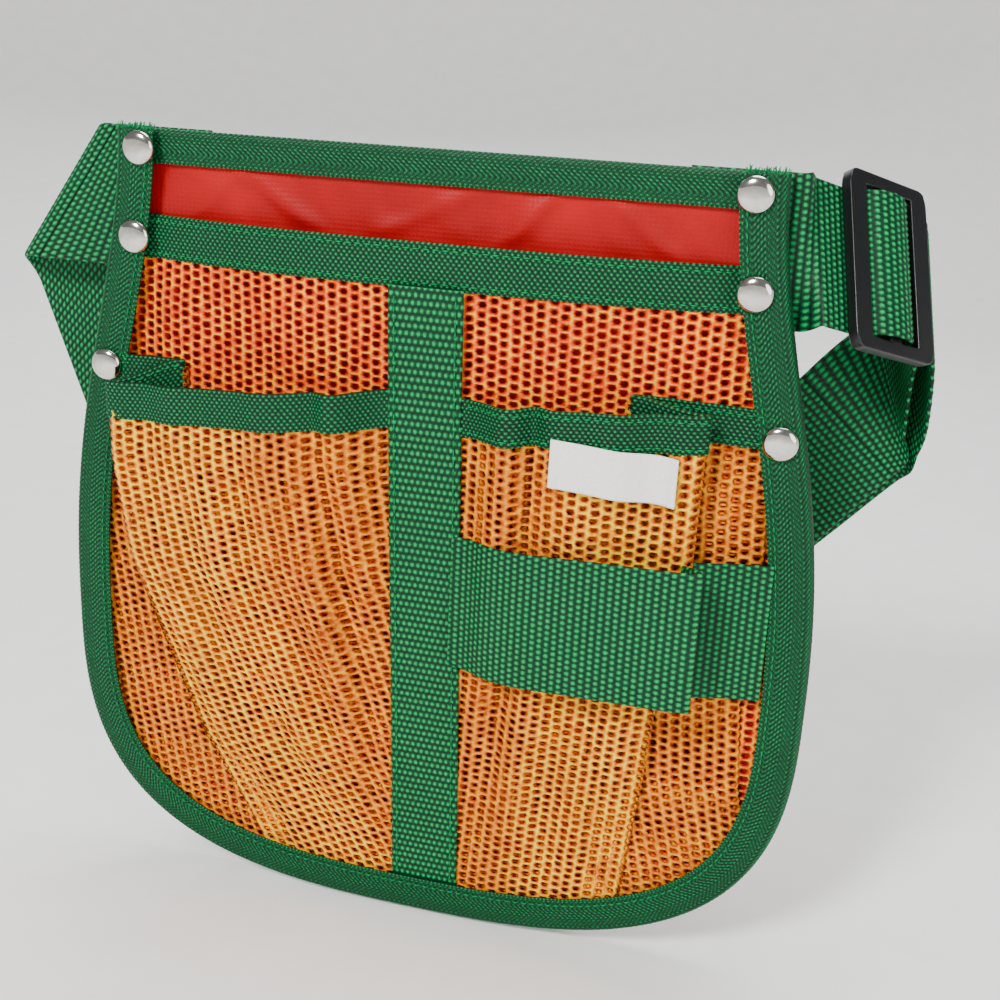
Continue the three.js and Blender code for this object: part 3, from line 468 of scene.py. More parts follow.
def pocketSurface(pocket, w, z):
    # w is measured along the cloth from the front fold: positive over the front towards the strap; negative
    # round the fold, back under the front for the pleat's width, round the second fold and out to the side.
    side = pocket["side"]
    fold = np.interp(z, pocket["heights"], pocket["foldX"])
    strap = pouch["strapLeft"] if side < 0 else pouch["strapRight"]
    depth = pocketDepth(pocket, z)
    pleat = pocket["pleat"] * (0.45 + 0.55 * upward(z, pouch["bottom"], pouch["pocketTop"]))
    foldRadius = np.minimum(roundest, depth / 4.5)
    turn = np.pi * foldRadius
    s = -w
    t = (s - turn) / pleat
    firstArc, returning, secondArc = s < turn, s < turn + pleat, s < 2 * turn + pleat
    arc = (s - turn - pleat) / foldRadius
    behind = depth - 2 * foldRadius
    inwards = np.where(firstArc, -foldRadius * np.sin(s / foldRadius), np.where(
        returning, s - turn, np.where(
            secondArc, pleat + foldRadius * np.sin(arc), pleat - (s - 2 * turn - pleat))))
    rearwards = np.where(firstArc, foldRadius * (1 - np.cos(s / foldRadius)), np.where(
        returning, 2 * foldRadius + (behind - 2 * foldRadius) * smooth(t, 0, 1), np.where(
            secondArc, behind + foldRadius * (1 - np.cos(arc)), depth)))
    front = w > 0
    inwards = np.where(front, w, inwards)
    x = fold - side * inwards
    fromStrap = smooth(side * (x - strap), -1, np.maximum(0.22 * np.abs(fold - strap), 6))
    crease = np.interp(z, pocket["heights"], pocket["creaseX"])
    valley = 4.2 * np.exp(-((x - crease) / 3.6) ** 2) * upward(z, -190, -80)
    ripple = 0.7 * np.sin(inwards / 3.7 + z / 31) + 0.4 * np.sin(inwards / 2.3 - z / 17)
    ripple = ripple * smooth(z, -196, -170)
    stand = depth * fromStrap - np.where(front, valley + ripple * fromStrap, 0)
    y = np.where(front, pouch["pocketNetFront"] - bow(x, z) - np.maximum(stand, 0),
                 pouch["pocketNetFront"] - bow(x, z) - depth + rearwards)
    reach = np.clip(np.abs((x - strap) / (fold - strap)), 0, 1)
    along = smooth(s, turn, turn + pleat)
    drop = pocket["strapDrop"] + (pocket["foldDrop"] - pocket["strapDrop"]) * reach
    drop = np.where(front, drop, pocket["foldDrop"] + (pocket["baseDrop"] - pocket["foldDrop"]) * along)
    rising = smooth(z, pouch["bottom"] + 40, pouch["pocketTop"])
    return np.stack([x, y, z - drop * rising], -1)


def addPocket(name, node, pocket):
    side = pocket["side"]
    strap = pouch["strapLeft"] if side < 0 else pouch["strapRight"]

    def surface(u, z):
        return pocketSurface(pocket, -side * u, z)

    def keep(u, z):
        place = surface(u, z)
        x = place[:, 0]
        onFront = -side * u > 0
        inside = (np.abs(x) < halfWidth(z, 3)) & (z > pouch["bottom"] + 7)
        return inside & (side * (x - strap) > -2) & ((side * u < 60) | onFront) & (z < pouch["pocketTop"] - 1)

    def tone(u, z):
        # brightest beside the front fold, where the pleat doubles the cloth, and dimmer past it either way
        w = -side * u
        doubled = smooth(w, -1.5, 1) * (1 - smooth(w, pocket["doubled"] - 6, pocket["doubled"] + 6))
        return 0.62 + 0.38 * doubled
    low, high = (-60, 95) if side < 0 else (-75, 60)
    net = addNet(name, surface, keep, (low, high), (-198, -42), frontNetThread, tone)
    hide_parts(node)
    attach(net, "pouch")
    return net


# each cloth as cut: across from the strap round both folds to the side, and from the mouth to the bottom
leftNet = addPocket("leftPocketNet", "left_pocket_net", leftPocket)
rightNet = addPocket("rightPocketNet", "right_pocket_net", rightPocket)
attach(backNet, "pouch")
print("nets knitted")


# ---- back panel ----

def addPanel():
    # A flat sheet behind, whose front puckers where it shows between the top binding and the upper tape.
    rows, columns = 150, 180
    v = np.linspace(0, 1, rows)[:, None]
    u = np.linspace(-1, 1, columns)[None, :]
    z = (pouch["bottom"] + 2) + (pouch["top"] - 1.4 - pouch["bottom"] - 2) * v ** 0.9 + 0 * u
    x = u * halfWidth(z, 1.6)
    band = smooth(z, -6, -1) * smooth(-z, -12, -7)
    pucker = (1.5 * np.exp(-((x - 22 - 0.9 * z) / 3.2) ** 2) + 1.1 * np.exp(-((x + 38 + 1.6 * z) / 4) ** 2)
              + 1.3 * np.exp(-((x - 58 + 1.2 * z) / 3.6) ** 2) + 0.9 * np.exp(-((x + 8 - 2 * z) / 5) ** 2)
              + 0.8 * np.exp(-((x + 64 - 1.1 * z) / 3.4) ** 2) + 0.35 * np.sin(x / 3.4 + z / 5))
    front = np.stack([x, pouch["panelFront"] - band * np.maximum(pucker, 0) * 0.8, z], -1)
    back = np.stack([x, 0 * x, z], -1)
    rings = np.concatenate([front, back[:, ::-1]], 1)
    return addLoft("backPanel", rings, redNylon)


panel = addPanel()
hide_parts("back_panel")
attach(panel, "pouch")


# ---- tapes, strap and loop ----

def finish(thing, body, nodes):
    if nodes:
        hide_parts(*nodes)
    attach(thing, body)
    return thing


def addTape(name, node, edge, width):
    # A tape folded over a net's top edge: a strip of double thickness under the line of its upper edge.
    place, length = pathPlace(edge, (0, 0, -1), width / 2)
    rings, relief = stripRings(place, width, np.arange(0, length, 0.38), 2.1, tapeWeave, 0.24, 0.4)
    thing = finish(addLoft(name, rings, tape, relief), "pouch", [node])
    return place, length


def upperTapeEdge():
    x = np.linspace(-halfWidth(-4, 2), halfWidth(-4, 2), 120)
    z = np.full_like(x, pouch["tapeTop"])
    return np.stack([x, pouch["backNetFront"] + 0.1 - bow(x, z), z], -1)


def pocketTapeEdge(pocket):
    side = pocket["side"]
    strap = pouch["strapLeft"] if side < 0 else pouch["strapRight"]
    fold = pocket["foldX"][-1]
    w = np.concatenate([np.linspace(abs(fold - strap) + 1, 3, 40), [1.5, 0, -1.1, -2.2],
                        np.linspace(-5, -pocket["pleat"] - 1, 8)])
    points = pocketSurface(pocket, w, np.full_like(w, pouch["pocketTop"]))
    last = points[-1]
    end = side * (halfWidth(np.array(last[2]), 3) - 0.3)
    base = pouch["pocketNetFront"] - 0.5
    out = [[last[0] - side * 0.5, (last[1] + base - 3) / 2, last[2]],
           [last[0] + side * 3, base - 3.2, last[2] - 0.3], [last[0] + side * 10, base - 2.2, last[2] - 0.5],
           [end, base - 0.6, last[2] - 1.5]]
    return rounded(np.concatenate([points, out]), 2)


tapeCuts = [("upper", upperTapeEdge(), 11.7), ("left", pocketTapeEdge(leftPocket), 10.4),
            ("right", pocketTapeEdge(rightPocket), 10.0)]
tapes = [(f"{name}Seam", width, addTape(f"{name}PocketTape", f"{name}_pocket_tape", edge, width))
         for name, edge, width in tapeCuts]

strapSize = {"width": 20.0, "length": 178, "top": -14.5, "bottom": -192.0, "thickness": 1.4, "lean": 2.6}


def strapPlace(a, b):
    # b runs down from the upper tape. The strap follows the bow and leans a little to the right.
    z = strapSize["top"] - b
    t = b / (strapSize["top"] - strapSize["bottom"])
    x = 1.4 + strapSize["lean"] * t + a
    y = pouch["pocketNetFront"] - bow(0 * x + 2.5, z) - 1.0
    return np.stack([x, y, z], -1), np.stack([0 * x, -np.ones_like(x), 0 * x], -1)


rings, relief = stripRings(strapPlace, strapSize["width"],
                           np.arange(0, strapSize["length"], webbingCut["along"]),
                           strapSize["thickness"], webbingWeave, webbingCut["across"])
centreStrap = finish(addLoft("centreStrap", rings, webbing, relief), "pouch", ["center_strap"])

loopTop = -80.5


def loopEdge():
    # Sewn beside the strap, out over the right pocket, folded back under itself and out to the side.
    y = pouch["pocketNetFront"] - 5.0
    points = [[10.5, y - 1.2, 0], [16, y - 2, 0], [22, y - 7.2, 0.6], [32, y - 10.6, 1.4],
              [44, y - 12.0, 2.4], [58, y - 13.4, 3.3], [70, y - 14.6, 4.0], [76.5, y - 15.0, 4.4],
              [78.6, y - 14.2, 4.4], [77.5, y - 12.0, 4.2], [74.5, y - 8.2, 3.4], [72, y - 5.2, 2.6],
              [73.5, y - 2.0, 2.2], [79, y - 0.2, 2.2], [87, y + 1.6, 2.6], [95, y + 2.4, 2.8]]
    return rounded(np.array(points) + [0, 0, loopTop], 3)


place, loopLength = pathPlace(loopEdge(), (0, 0, -1), webbingCut["half"])
rings, relief = stripRings(place, webbingCut["width"], np.arange(0, loopLength, webbingCut["along"]),
                           webbingCut["thickness"], webbingWeave, webbingCut["across"])
toolLoop = finish(addLoft("toolLoop", rings, webbing, relief), "pouch", ["tool_loop"])
print("tapes, strap and loop woven")


# ---- bindings ----

def wrapProfile(width, front, rear, inner, bulge):
    # The section of a tape folded over an edge: distance in from the edge, y, and distance along the tape.
    # The outside runs in from the front inner edge, round the fold and back; the inside is a few points.
    middle, half = (front + rear) / 2, (rear - front) / 2
    angle = np.linspace(-90, 90, 17)[1:-1]
    frontIn = np.linspace(width, bulge, int((width - bulge) / 0.38))
    backIn = np.linspace(bulge, width, int((width - bulge) / 0.8))
    inset = np.concatenate([frontIn, bulge - bulge * np.cos(np.radians(angle)), backIn])
    y = np.concatenate([np.full(len(frontIn), front), middle + half * np.sin(np.radians(angle)),
                        np.full(len(backIn), rear)])
    steps = np.hypot(np.diff(inset), np.diff(y))
    along = np.concatenate([[0], np.cumsum(steps)])
    normal = np.stack([np.gradient(y), -np.gradient(inset)], -1)
    normal /= -np.linalg.norm(normal, axis=1, keepdims=True)
    innerInset = np.array([width, bulge + 0.4, bulge + 0.4, width])
    innerY = np.array([rear - inner, rear - inner, front + inner, front + inner])
    return inset, y, along, normal, innerInset, innerY


def addBinding(name, node, edgePoint, edgeNormal, length, profile, body="pouch"):
    # edgePoint(b) and edgeNormal(b) give the wrapped edge in x and z at a distance b along it.
    inset, y, along, normal, innerInset, innerY = profile
    b = np.arange(0, length, 0.4)
    height = herringboneWeave(along[None, :], b[:, None])
    selvedge = 0.5 + 0.5 * np.cos(2 * np.pi * b / 1.2)[:, None]
    rim = np.exp(-((inset.max() - inset) / 0.45) ** 2)[None, :]
    height = height * (1 - rim) + rim * selvedge
    lift = -0.34 * (1 - height)
    reach = inset + normal[:, 0] * lift
    deep = y + normal[:, 1] * lift
    fullReach = np.concatenate([reach, np.tile(innerInset, (len(b), 1))], 1)
    fullY = np.concatenate([deep, np.tile(innerY, (len(b), 1))], 1)
    point, out = edgePoint(b), edgeNormal(b)
    rings = np.stack([point[:, None, 0] - out[:, None, 0] * fullReach, fullY,
                      point[:, None, 1] - out[:, None, 1] * fullReach], -1)
    relief = np.concatenate([height, np.full((len(b), 4), 0.4)], 1)
    return finish(addLoft(name, rings, tape, relief), body, [node])


wholeX = np.concatenate([outlineX, -outlineX[-2::-1]])
wholeZ = np.concatenate([outlineZ, outlineZ[-2::-1]])
wholeNX = np.concatenate([normalX, -normalX[-2::-1]])
wholeNZ = np.concatenate([normalZ, normalZ[-2::-1]])
wholeLength = np.concatenate([[0], np.cumsum(np.hypot(np.diff(wholeX), np.diff(wholeZ)))])


def sidePoint(b):
    return np.stack([np.interp(b, wholeLength, wholeX), np.interp(b, wholeLength, wholeZ)], -1)


def sideNormal(b):
    normal = np.stack([np.interp(b, wholeLength, wholeNX), np.interp(b, wholeLength, wholeNZ)], -1)
    return normal / np.linalg.norm(normal, axis=1, keepdims=True)


addBinding("sideBinding", "side_binding", sidePoint, sideNormal, wholeLength[-1],
           wrapProfile(11.5, pouch["bindingFront"], pouch["bindingRear"], 0.8, 2.6))
topHalf = 86.6
addBinding("topBinding", "top_binding",
           lambda b: np.stack([b - topHalf, np.full_like(b, pouch["top"])], -1),
           lambda b: np.stack([0 * b, np.ones_like(b)], -1), 2 * topHalf,
           wrapProfile(9.0, -2.1, 1.2, 0.5, 1.4))
print("bindings woven")


# ---- label ----

def addLabel():
    # A blank strip that hangs from under the right tape, bent with the pocket, with turned-in ends.
    label = {"left": 37.5, "right": 69.5, "top": -49.6, "height": 12.4, "thickness": 0.45,
             "lean": 1.8}
    u, v = np.meshgrid(np.linspace(0, 1, 60), np.linspace(0, 1, 24))
    x = label["left"] + (label["right"] - label["left"]) * u
    z = label["top"] + label["lean"] * (1 - u) - label["height"] * v
    w = np.interp(label["top"], rightPocket["heights"], rightPocket["foldX"]) - x
    onPocket = pocketSurface(rightPocket, w, 0 * w + label["top"])
    y = onPocket[..., 1] - 1.5 - 0.6 * v + 0.25 * np.sin(u * 9)
    swell = label["thickness"] * (1 + 0.7 * (u < 0.06) + 0.7 * (u > 0.94))
    front = np.stack([x, y - swell, z], -1)
    back = np.stack([x, y, z], -1)
    rings = np.concatenate([front, back[:, ::-1]], 1)
    return finish(addLoft("blankLabel", rings, satinLabel), "pouch", ["blank_label"])


blankLabel = addLabel()


# ---- rivets ----

def addTurned(name, profile, x, z, material, segments=48):
    # A profile of radius and y turned round a line along y, closed at both ends by the profile itself.
    profile = np.array(profile, float)
    angle = np.linspace(0, 2 * np.pi, segments, endpoint=False)
    rings = np.stack([x + profile[:, None, 0] * np.cos(angle), profile[:, None, 1] + 0 * angle,
                      z + profile[:, None, 0] * np.sin(angle)], -1)
    return addLoft(name, rings, material)


def addRivet(number, side, z, inset, rear):
    x = side * (halfWidth(np.array(z), 0) - inset)
    front = pouch["bindingFront"] - 0.05
    angle = np.radians(np.linspace(0, 88, 14))
    dome = np.stack([4.45 * np.cos(angle) ** 0.8, front - 0.45 - 1.55 * np.sin(angle)], -1)
    skirt = [[0.02, front + 0.3], [3.6, front + 0.3], [4.2, front + 0.12], [4.42, front - 0.1]]
    cap = addTurned(f"rivetCap{number}", np.concatenate([skirt, dome]), x, z, nickel)
    finish(cap, "pouch", [f"rivet_cap_{number}"])
    back = rear + 0.05
    base = [[0.02, front + 0.4], [1.4, front + 0.4], [1.4, back], [3.5, back], [3.95, back + 0.15],
            [4.05, back + 0.4], [3.7, back + 0.75], [2.4, back + 1.0], [1.7, back + 0.8], [0.02, back + 0.7]]
    foot = addTurned(f"rivetBase{number}", base, x, z, nickel)
    finish(foot, "pouch", [f"rivet_base_{number}"])


rivetPlaces = [(14.0, 7.8, 3.8), (-9.3, 8.4, 3.8), (-45.4, 6.3, 2.4)]
for number in range(6):
    z, inset, rear = rivetPlaces[number % 3]
    addRivet(number + 1, -1 if number < 3 else 1, z, inset, rear)
print("rivets pressed")


# ---- belt ----
belt = {"middle": 3.25, "exit": 89.582, "seat": 26.0, "foldX": -104.582,
        "foldTilt": 35.0, "foldRadius": 5.5, "leftTail": 150.0, "rightTail": 118.0}


def leftPlace(a, b):
    # b is the distance along the flat belt from the seat; past the tilted fold line the belt goes half round
    # a cylinder and then straight back.
    tilt = math.radians(belt["foldTilt"])
    out = np.array([-math.cos(tilt), 0, math.sin(tilt)])
    centre = np.array([belt["foldX"], belt["middle"] + belt["foldRadius"], 0])
    x = -(belt["exit"] - belt["seat"]) - b
    flat = np.stack([x, np.full_like(x, belt["middle"]), a], -1)
    q = (flat - centre) @ out
    wound = np.clip(q, 0, math.pi * belt["foldRadius"])
    angle = wound / belt["foldRadius"]
    arm = flat - out * wound[..., None] - centre
    along = (arm @ out)[..., None] * out
    across = arm - along - np.array([0, 1, 0]) * arm[..., 1:2]
    turnedY = arm[..., 1:2]
    turned = (across + along * np.cos(angle)[..., None] - out * turnedY * np.sin(angle)[..., None]
              + np.array([0, 1, 0]) * (turnedY * np.cos(angle)[..., None]
                                       + (arm @ out)[..., None] * np.sin(angle)[..., None]))
    normal = -np.array([0, 1, 0]) * np.cos(angle)[..., None] + out * np.sin(angle)[..., None]
    return turned + centre, normal


def addBeltPiece(name, placing, along, nodes, body, blendTo=None):
    rings, relief = stripRings(placing, webbingCut["width"], along, webbingCut["thickness"], webbingWeave,
                               webbingCut["across"])
    piece = addLoft(name, rings, webbing, relief)
    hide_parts(*nodes)
    # the returning layer's first few millimetres are too short to be a sheet of their own
    if blendTo is None:
        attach(piece, body)
    else:
        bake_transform(piece)
    return piece


# On the flat belt the fold line crosses the middle at foldStart; and the folded arc ends at foldEnd.
foldStart = -belt["foldX"] - (belt["exit"] - belt["seat"])
foldEnd = foldStart + math.pi * belt["foldRadius"] / math.cos(math.radians(belt["foldTilt"]))


def addLeftBelt():
    tilt = math.tan(math.radians(belt["foldTilt"]))

    def stubPlace(a, b):
        t = b / foldStart
        return leftPlace(a, b - a * tilt * t)

    def foldPlace(a, b):
        return leftPlace(a, b - a * tilt)

    def tailPlace(a, b):
        t = np.clip((b - foldEnd) / (leftTailEnd - foldEnd), 0, 1)
        return leftPlace(a, b - a * tilt * (1 - t))
    tipX = belt["foldX"] - math.pi * belt["foldRadius"] - belt["leftTail"]
    leftTailEnd = (-belt["exit"] + belt["seat"]) - tipX
    addBeltPiece("leftBeltStub", stubPlace, np.linspace(0, foldStart, 95), ["left_belt_stub"], "pouch")
    centre = (belt["foldX"] * 0.001, 0.0038, 0)
    addBeltPiece("leftBeltFold", foldPlace, np.linspace(foldStart, foldEnd, 56), ["left_belt_fold"], "pouch",
                 ["left_tail", centre, (centre[0], 0.0137, 0)])
    addBeltPiece("leftBeltTail", tailPlace, np.linspace(foldEnd, leftTailEnd, 420), ["left_belt_tail"],
                 "left_tail")


addLeftBelt()


# The right belt runs through rulings: a centre and the direction of its upper edge.
def fromEdge(x, y, z):
    return np.array([belt["exit"] + x, y, z])


alongSlider = np.array([0.665058, 0.700061, -0.260023])
acrossSlider = np.array([-0.165798, 0.47791, 0.86262])
tailDown, tailTurn = math.radians(47), math.radians(6)
tailHeading = np.array([-math.cos(tailDown) * math.cos(tailTurn), -math.cos(tailDown) * math.sin(tailTurn),
                        -math.sin(tailDown)])
tailAcross = np.array([-math.sin(tailDown) * math.cos(tailTurn), -math.sin(tailDown) * math.sin(tailTurn),
                       math.cos(tailDown)])


def onStraight(s):
    return fromEdge(2.6, belt["middle"] - 0.6, 2.0) + alongSlider * s


def onTail(s):
    return fromEdge(20, 46.5, -54) + tailHeading * s


rulings = [(fromEdge(-26, 3.25, 0), (0, 0, 1)), (fromEdge(-13, 3.25, 0), (0, 0, 1)),
           (fromEdge(-3, 3.25, 0), (0, 0, 1)), (fromEdge(2.0, 3.5, 0), (-0.02, 0.02, 1)),
           (onStraight(5.5), acrossSlider), (onStraight(7.5), acrossSlider), (onStraight(26), acrossSlider),
           (onStraight(44.5), acrossSlider), (onStraight(46.5), acrossSlider),
           (fromEdge(35.5, 43, -26), (-0.16, 0.55, 0.8)), (fromEdge(32, 49.5, -41), (-0.3, 0.42, 0.84)),
           (onTail(0), tailAcross), (onTail(20), tailAcross), (onTail(40), tailAcross),
           (onTail(belt["rightTail"]), tailAcross)]
middleKnots = np.array([centre for centre, _ in rulings])
upperKnots = np.array([centre + webbingCut["half"] * np.array(way) / np.linalg.norm(way)
                       for centre, way in rulings])


def throughKnots(knots, k):
    # Centripetal Catmull-Rom: a cubic between knots, its tangents from steps to the power one half.
    ends = np.concatenate([[2 * knots[0] - knots[1]], knots, [2 * knots[-1] - knots[-2]]])
    i = np.clip(np.floor(k).astype(int), 0, len(knots) - 2)
    t = (k - i)[..., None]
    p = [ends[i + n] for n in range(4)]
    d = [np.sqrt(np.linalg.norm(p[n + 1] - p[n], axis=-1))[..., None] for n in range(3)]
    out = ((p[1] - p[0]) / d[0] - (p[2] - p[0]) / (d[0] + d[1]) + (p[2] - p[1]) / d[1]) * d[1]
    into = ((p[2] - p[1]) / d[1] - (p[3] - p[1]) / (d[1] + d[2]) + (p[3] - p[2]) / d[2]) * d[1]
    return (p[1] + out * t + (-3 * p[1] + 3 * p[2] - 2 * out - into) * t ** 2
            + (2 * p[1] - 2 * p[2] + out + into) * t ** 3)


kTable = np.linspace(0, len(rulings) - 1, 1401)
middleSteps = np.linalg.norm(np.diff(throughKnots(middleKnots, kTable), axis=0), axis=1)
alongTable = np.concatenate([[0], np.cumsum(middleSteps)])


def rightPlace(inner):
    # The belt's middle surface at a across and b along; inner is the layer that lies inside the curl.
    def placing(a, b):
        k = np.interp(b, alongTable, kTable)
        centre = throughKnots(middleKnots, k)
        across = throughKnots(upperKnots, k) - centre
        across /= np.linalg.norm(across, axis=-1, keepdims=True)
        ahead = throughKnots(middleKnots, np.minimum(k + 0.01, 14)) - throughKnots(middleKnots, k - 0.01)
        inside = np.cross(across, ahead)
        inside /= np.linalg.norm(inside, axis=-1, keepdims=True)
        if inner:
            hump = smooth(k, 7, 9.2) * (1 - smooth(k, 11, 13.7))
            centre = centre + inside * (1.7 + 3.5 * hump)[..., None] + across * (3.5 * hump)[..., None]
        return centre + across * a[..., None], inside
    return placing


def alongAt(k):
    return float(np.interp(k, kTable, alongTable))


def addRightBelt():
    curlStart, curlEnd, end = alongAt(8), alongAt(11), alongTable[-1]
    hinge = [(0.121, 0.0405, -0.030), (0.115, 0.0465, -0.049)]
    spans = {"stub": (0, curlStart), "curl": (curlStart, curlEnd), "tail": (curlEnd, end)}
    for layer, inner in (("rightBelt", False), ("returnLayer", True)):
        for span, (start, stop) in spans.items():
            if inner and span == "stub":
                start = alongAt(6.9)
            along = np.linspace(start, stop, int((stop - start) / webbingCut["along"]) + 1)
            node = {"rightBelt": "right_belt_", "returnLayer": "return_layer_"}[layer]
            part = {"stub": "start" if inner else "stub"}.get(span, span)
            addBeltPiece(layer + span.capitalize(), rightPlace(inner), along, [node + part],
                         "right_tail" if span == "tail" else "pouch",
                         ["right_tail", *hinge] if span == "curl" else None)


addRightBelt()
print("belt laid")


# ---- stitches and frayed ends ----

def addThreads(name, start, reach, bend, radius, material, rows=4, sides=5):
    # Short threads: each starts at its own start, runs along reach and bows by bend at its middle.
    t = np.linspace(0, 1, rows)
    thin = radius * np.sin(np.pi * (0.12 + 0.76 * t))
    middle = start[:, None] + reach[:, None] * t[:, None] + bend[:, None] * (4 * t * (1 - t))[:, None]
    ahead = reach / np.linalg.norm(reach, axis=1, keepdims=True)
    one = np.cross(ahead, [0.3, 0.5, 0.81])
    one /= np.linalg.norm(one, axis=1, keepdims=True)
    two = np.cross(ahead, one)
    angle = np.linspace(0, 2 * np.pi, sides, endpoint=False)
    turned = one[:, None] * np.cos(angle)[:, None] + two[:, None] * np.sin(angle)[:, None]
    points = middle[:, :, None] + thin[:, None, None] * turned[:, None]
    quads, first, last = loftFaces(rows, sides)
    offset = (np.arange(len(start)) * rows * sides)[:, None, None]
    faces = [(group[None] + offset).reshape(-1, group.shape[1]) for group in (quads, first, last)]
    relief = np.broadcast_to(0.75, points.shape[:3])
    return finish(addMesh(name, points, faces, material, relief), "pouch", [])


def addSeam(name, place, length, across, proud, pitch=2.6):
    # One seam at a distance across the strip that place gives, its stitches proud of the strip's face.
    b = np.arange(pitch, length - pitch, pitch)
    a = np.full_like(b, across)
    points, normals = place(a, b)
    ends, endNormals = place(a, b + 0.72 * pitch)
    start = points + normals * proud
    return addThreads(name, start, ends + endNormals * proud - start, normals * 0.28, 0.26, tape)


def bindingPlace(a, b):
    point, out = sidePoint(b), sideNormal(b)
    inset = 11.5 - a
    return (np.stack([point[:, 0] - out[:, 0] * inset, np.full_like(b, pouch["bindingFront"]),
                      point[:, 1] - out[:, 1] * inset], -1), np.tile([0.0, -1.0, 0.0], (len(b), 1)))


for name, width, (place, length) in tapes:
    for row, across in enumerate((1.6 - width / 2, width / 2 - 1.6)):
        addSeam(f"{name}{row + 1}", place, length, across, 0.92)
for row, across in enumerate((-8.2, 8.2)):
    addSeam(f"strapSeam{row + 1}", strapPlace, 177, across, 0.6)
addSeam("bindingSeam", bindingPlace, wholeLength[-1], 1.9, -0.1)


def addFray(name, corner, along, up, count, material=webbing):
    # Loose ends along a cut edge: from corner along the edge, standing up and leaning every way.
    n = np.arange(count)
    chance = np.modf(np.abs(np.sin((n[:, None] + 1) * [12.9898, 78.233, 37.719])) * 43758.5453)[0]
    along, up = np.array(along, float), np.array(up, float)
    start = np.array(corner) + along * (n / count)[:, None] - up * 0.5 + [0, 0.5, 0] * (chance[:, 2:] - 0.5)
    lean = along / np.linalg.norm(along) * 2.2 * (chance[:, :1] - 0.5) + [0, 1.6, 0] * (chance[:, 1:2] - 0.5)
    reach = up * (0.7 + 0.9 * chance[:, 2:]) + lean
    return addThreads(name, start, reach, lean[:, ::-1] * 0.3, 0.17, material, rows=5)


topEdge = halfWidth(np.array(pouch["top"]), 0)
addFray("leftBindingFray", (-float(topEdge) + 0.6, -3.9, pouch["top"]), (10.4, 0, 0), (0, 0, 1.6), 60, tape)
addFray("rightBindingFray", (float(topEdge) - 11.0, -3.9, pouch["top"]), (10.4, 0, 0), (0, 0, 1.6), 60, tape)
returnPoint = rightPlace(True)(np.array([[-18.5, 18.5]]), np.full((1, 2), alongAt(6.9)))[0]
addFray("returnFray", returnPoint[0, 0], returnPoint[0, 1] - returnPoint[0, 0], -1.9 * alongSlider, 90)
print("seams stitched")


# ---- slider and buckle ----

def addMoulded(name, node, body, radius, widen=None):
    # A copy of a frame node, merged and with its flat faces joined, then every sharp edge rounded. widen
    # moves its points first, in metres.
    shape = bmesh.new()
    shape.from_mesh(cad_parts[node].data)
    bmesh.ops.remove_doubles(shape, verts=shape.verts, dist=1e-6)
    bmesh.ops.dissolve_limit(shape, angle_limit=math.radians(1), verts=shape.verts, edges=shape.edges)
    for vertex in shape.verts if widen else ():
        vertex.co += widen(vertex.co)
    sharp = [e for e in shape.edges if len(e.link_faces) == 2 and e.calc_face_angle(0) > math.radians(35)]
    bmesh.ops.bevel(shape, geom=sharp, offset=radius, segments=3, profile=0.5, affect="EDGES",
                    clamp_overlap=True)
    mesh = bpy.data.meshes.new(name)
    shape.to_mesh(mesh)
    shape.free()
    mesh.materials.clear()
    mesh.materials.append(acetal)
    mesh.polygons.foreach_set("use_smooth", np.ones(len(mesh.polygons), bool))
    thing = bpy.data.objects.new(name, mesh)
    bpy.context.collection.objects.link(thing)
    weighted = thing.modifiers.new("faces", "WEIGHTED_NORMAL")
    weighted.keep_sharp = True
    return finish(thing, body, [node])


sliderMiddle = onStraight(28)


def widenBars(point):
    # The slider's two end bars grow 1.9 mm inwards over the slots, and its rim 1 mm outwards across the belt.
    place = np.array(point) * 1000 - sliderMiddle
    along, across = place @ alongSlider, place @ acrossSlider
    inner = 8 < abs(along) < 12.5 and abs(across) < 21
    outer = abs(across) > 21
    move = -1.9 * np.sign(along) * inner * alongSlider + outer * np.sign(across) * acrossSlider
    return Vector(move * 0.001)


addMoulded("sliderFrame", "slider", "slider", 0.0011, widenBars)
addMoulded("buckleSocket", "buckle_socket", "left_tail", 0.0006)
addMoulded("bucklePlug", "buckle_plug", "right_tail", 0.0006)
addMoulded("upperProng", "upper_prong", "upper_prong", 0.0004)
addMoulded("lowerProng", "lower_prong", "lower_prong", 0.0004)


def groupPlace(origin, onwards, across, points):
    # Points in a piece's own axes: onwards, across and through, turned into the frame's axes.
    onwards, across = np.array(onwards), np.array(across)
    return np.array(origin) + points @ np.stack([onwards, across, np.cross(onwards, across)])


def addWrap(name, node, body, origin, onwards, across, section):
    # Webbing bent round a bar: section is its middle line in the onwards and through directions.
    line = rounded(np.array([[x, 0, z] for x, z in section]), 3)
    line = groupPlace(origin, onwards, across, line)
    place, length = pathPlace(line, across)
    rings, relief = stripRings(place, webbingCut["width"], np.arange(0, length, webbingCut["along"]), 1.3,
                               webbingWeave, webbingCut["across"])
    return finish(addLoft(name, rings, webbing, relief), body, [node])


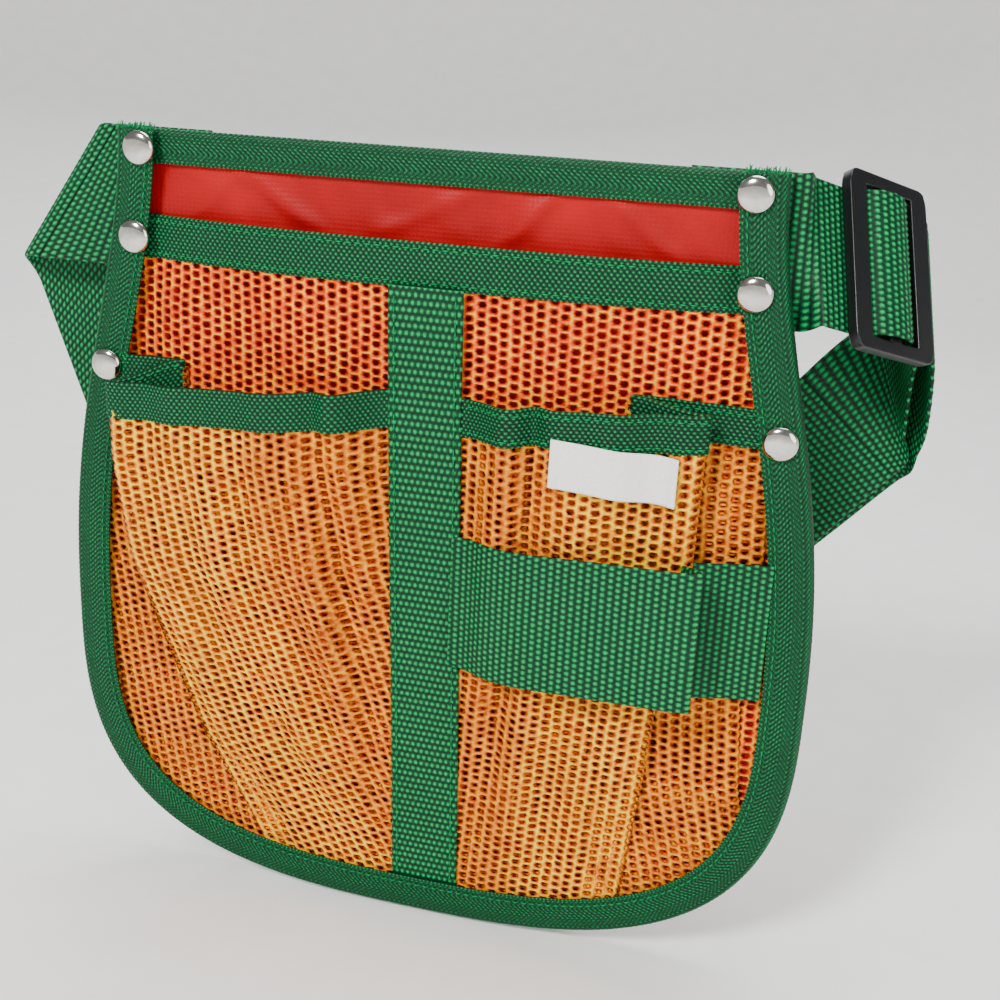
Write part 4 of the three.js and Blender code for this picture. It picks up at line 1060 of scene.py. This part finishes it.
addWrap("sliderWrap", "slider_wrap", "slider", sliderMiddle, alongSlider, acrossSlider,
        [(-7.6, 0.95), (-6.8, 3.2), (-4.2, 4.9), (0, 5.6), (4.2, 4.9), (6.8, 3.2), (7.6, 0.95)])
socketPlace = {"origin": (-61.421, 14.25, -147.562), "onwards": (0.34202, 0, -0.939693),
               "across": (0.939693, 0, 0.34202)}
plugPlace = {"origin": (29.427, 37.271, -140.519), "onwards": (-0.678262, -0.071288, -0.731354),
             "across": (-0.727347, -0.076447, 0.681998)}
barWrap = [(-12, 2.25), (1, 2.25), (4.0, 2.25), (4.4, 0), (4.0, -2.25), (1, -2.25), (-12, -2.25)]
addWrap("socketWrap", "socket_wrap", "left_tail", *socketPlace.values(), barWrap)
addWrap("plugWrap", "plug_wrap", "right_tail", *plugPlace.values(), barWrap)
print("slider and buckle moulded")


# ---- stage ----

def addStage():
    # a round floor, flat to 1 m and then rising like a bowl to 1.6 m, so that it stands behind every view
    grain = grainInputs("#f0eeec", "#faf8f6", 60.0, 0.05, 0.002)
    material = newMaterial("paleCottonCloth", grain, Roughness=0.9)
    angle = np.radians(np.linspace(0, 80, 24))
    radius = np.concatenate([[0.0, 300.0, 600.0], 1000 + 700 * np.sin(angle)])
    z = np.concatenate([[0.0, 0.0, 0.0], 700 * (1 - np.cos(angle))]) - 203.4
    around = np.linspace(0, 2 * np.pi, 96, endpoint=False)
    points = np.stack([radius[:, None] * np.cos(around), radius[:, None] * np.sin(around),
                       z[:, None] + 0 * around], -1)
    index = np.arange(points.shape[0] * 96).reshape(-1, 96)
    after = np.roll(index, -1, 1)
    faces = np.stack([index[:-1], index[1:], after[1:], after[:-1]], -1).reshape(-1, 4)
    addMesh("backdrop", points, faces, material)


def addLight(name, power, size, position, target):
    data = bpy.data.lights.new(name, "AREA")
    data.energy, data.size, data.shape = power, size, "DISK"
    light = bpy.data.objects.new(name, data)
    light.location = position
    light.rotation_euler = (Vector(target) - Vector(position)).to_track_quat("-Z", "Y").to_euler()
    bpy.context.collection.objects.link(light)


addStage()
addLight("keyLight", 21.0, 0.3, (-0.3, -0.95, 0.75), (0, 0, -0.08))
addLight("fillLight", 6.0, 0.8, (0.9, -0.7, 0.3), (0, 0, -0.08))
addLight("topLight", 14.0, 0.9, (0.1, 0.25, 1.1), (0, 0, -0.1))
addLight("backLight", 6.0, 0.9, (-0.4, 1.0, 0.5), (0, 0, -0.1))
world = bpy.data.worlds.new("room")
world.use_nodes = True
background = world.node_tree.nodes["Background"]
background.inputs["Color"].default_value = toLinear("#e3e6ea")
background.inputs["Strength"].default_value = 0.3
bpy.context.scene.world = world
print("stage lit")
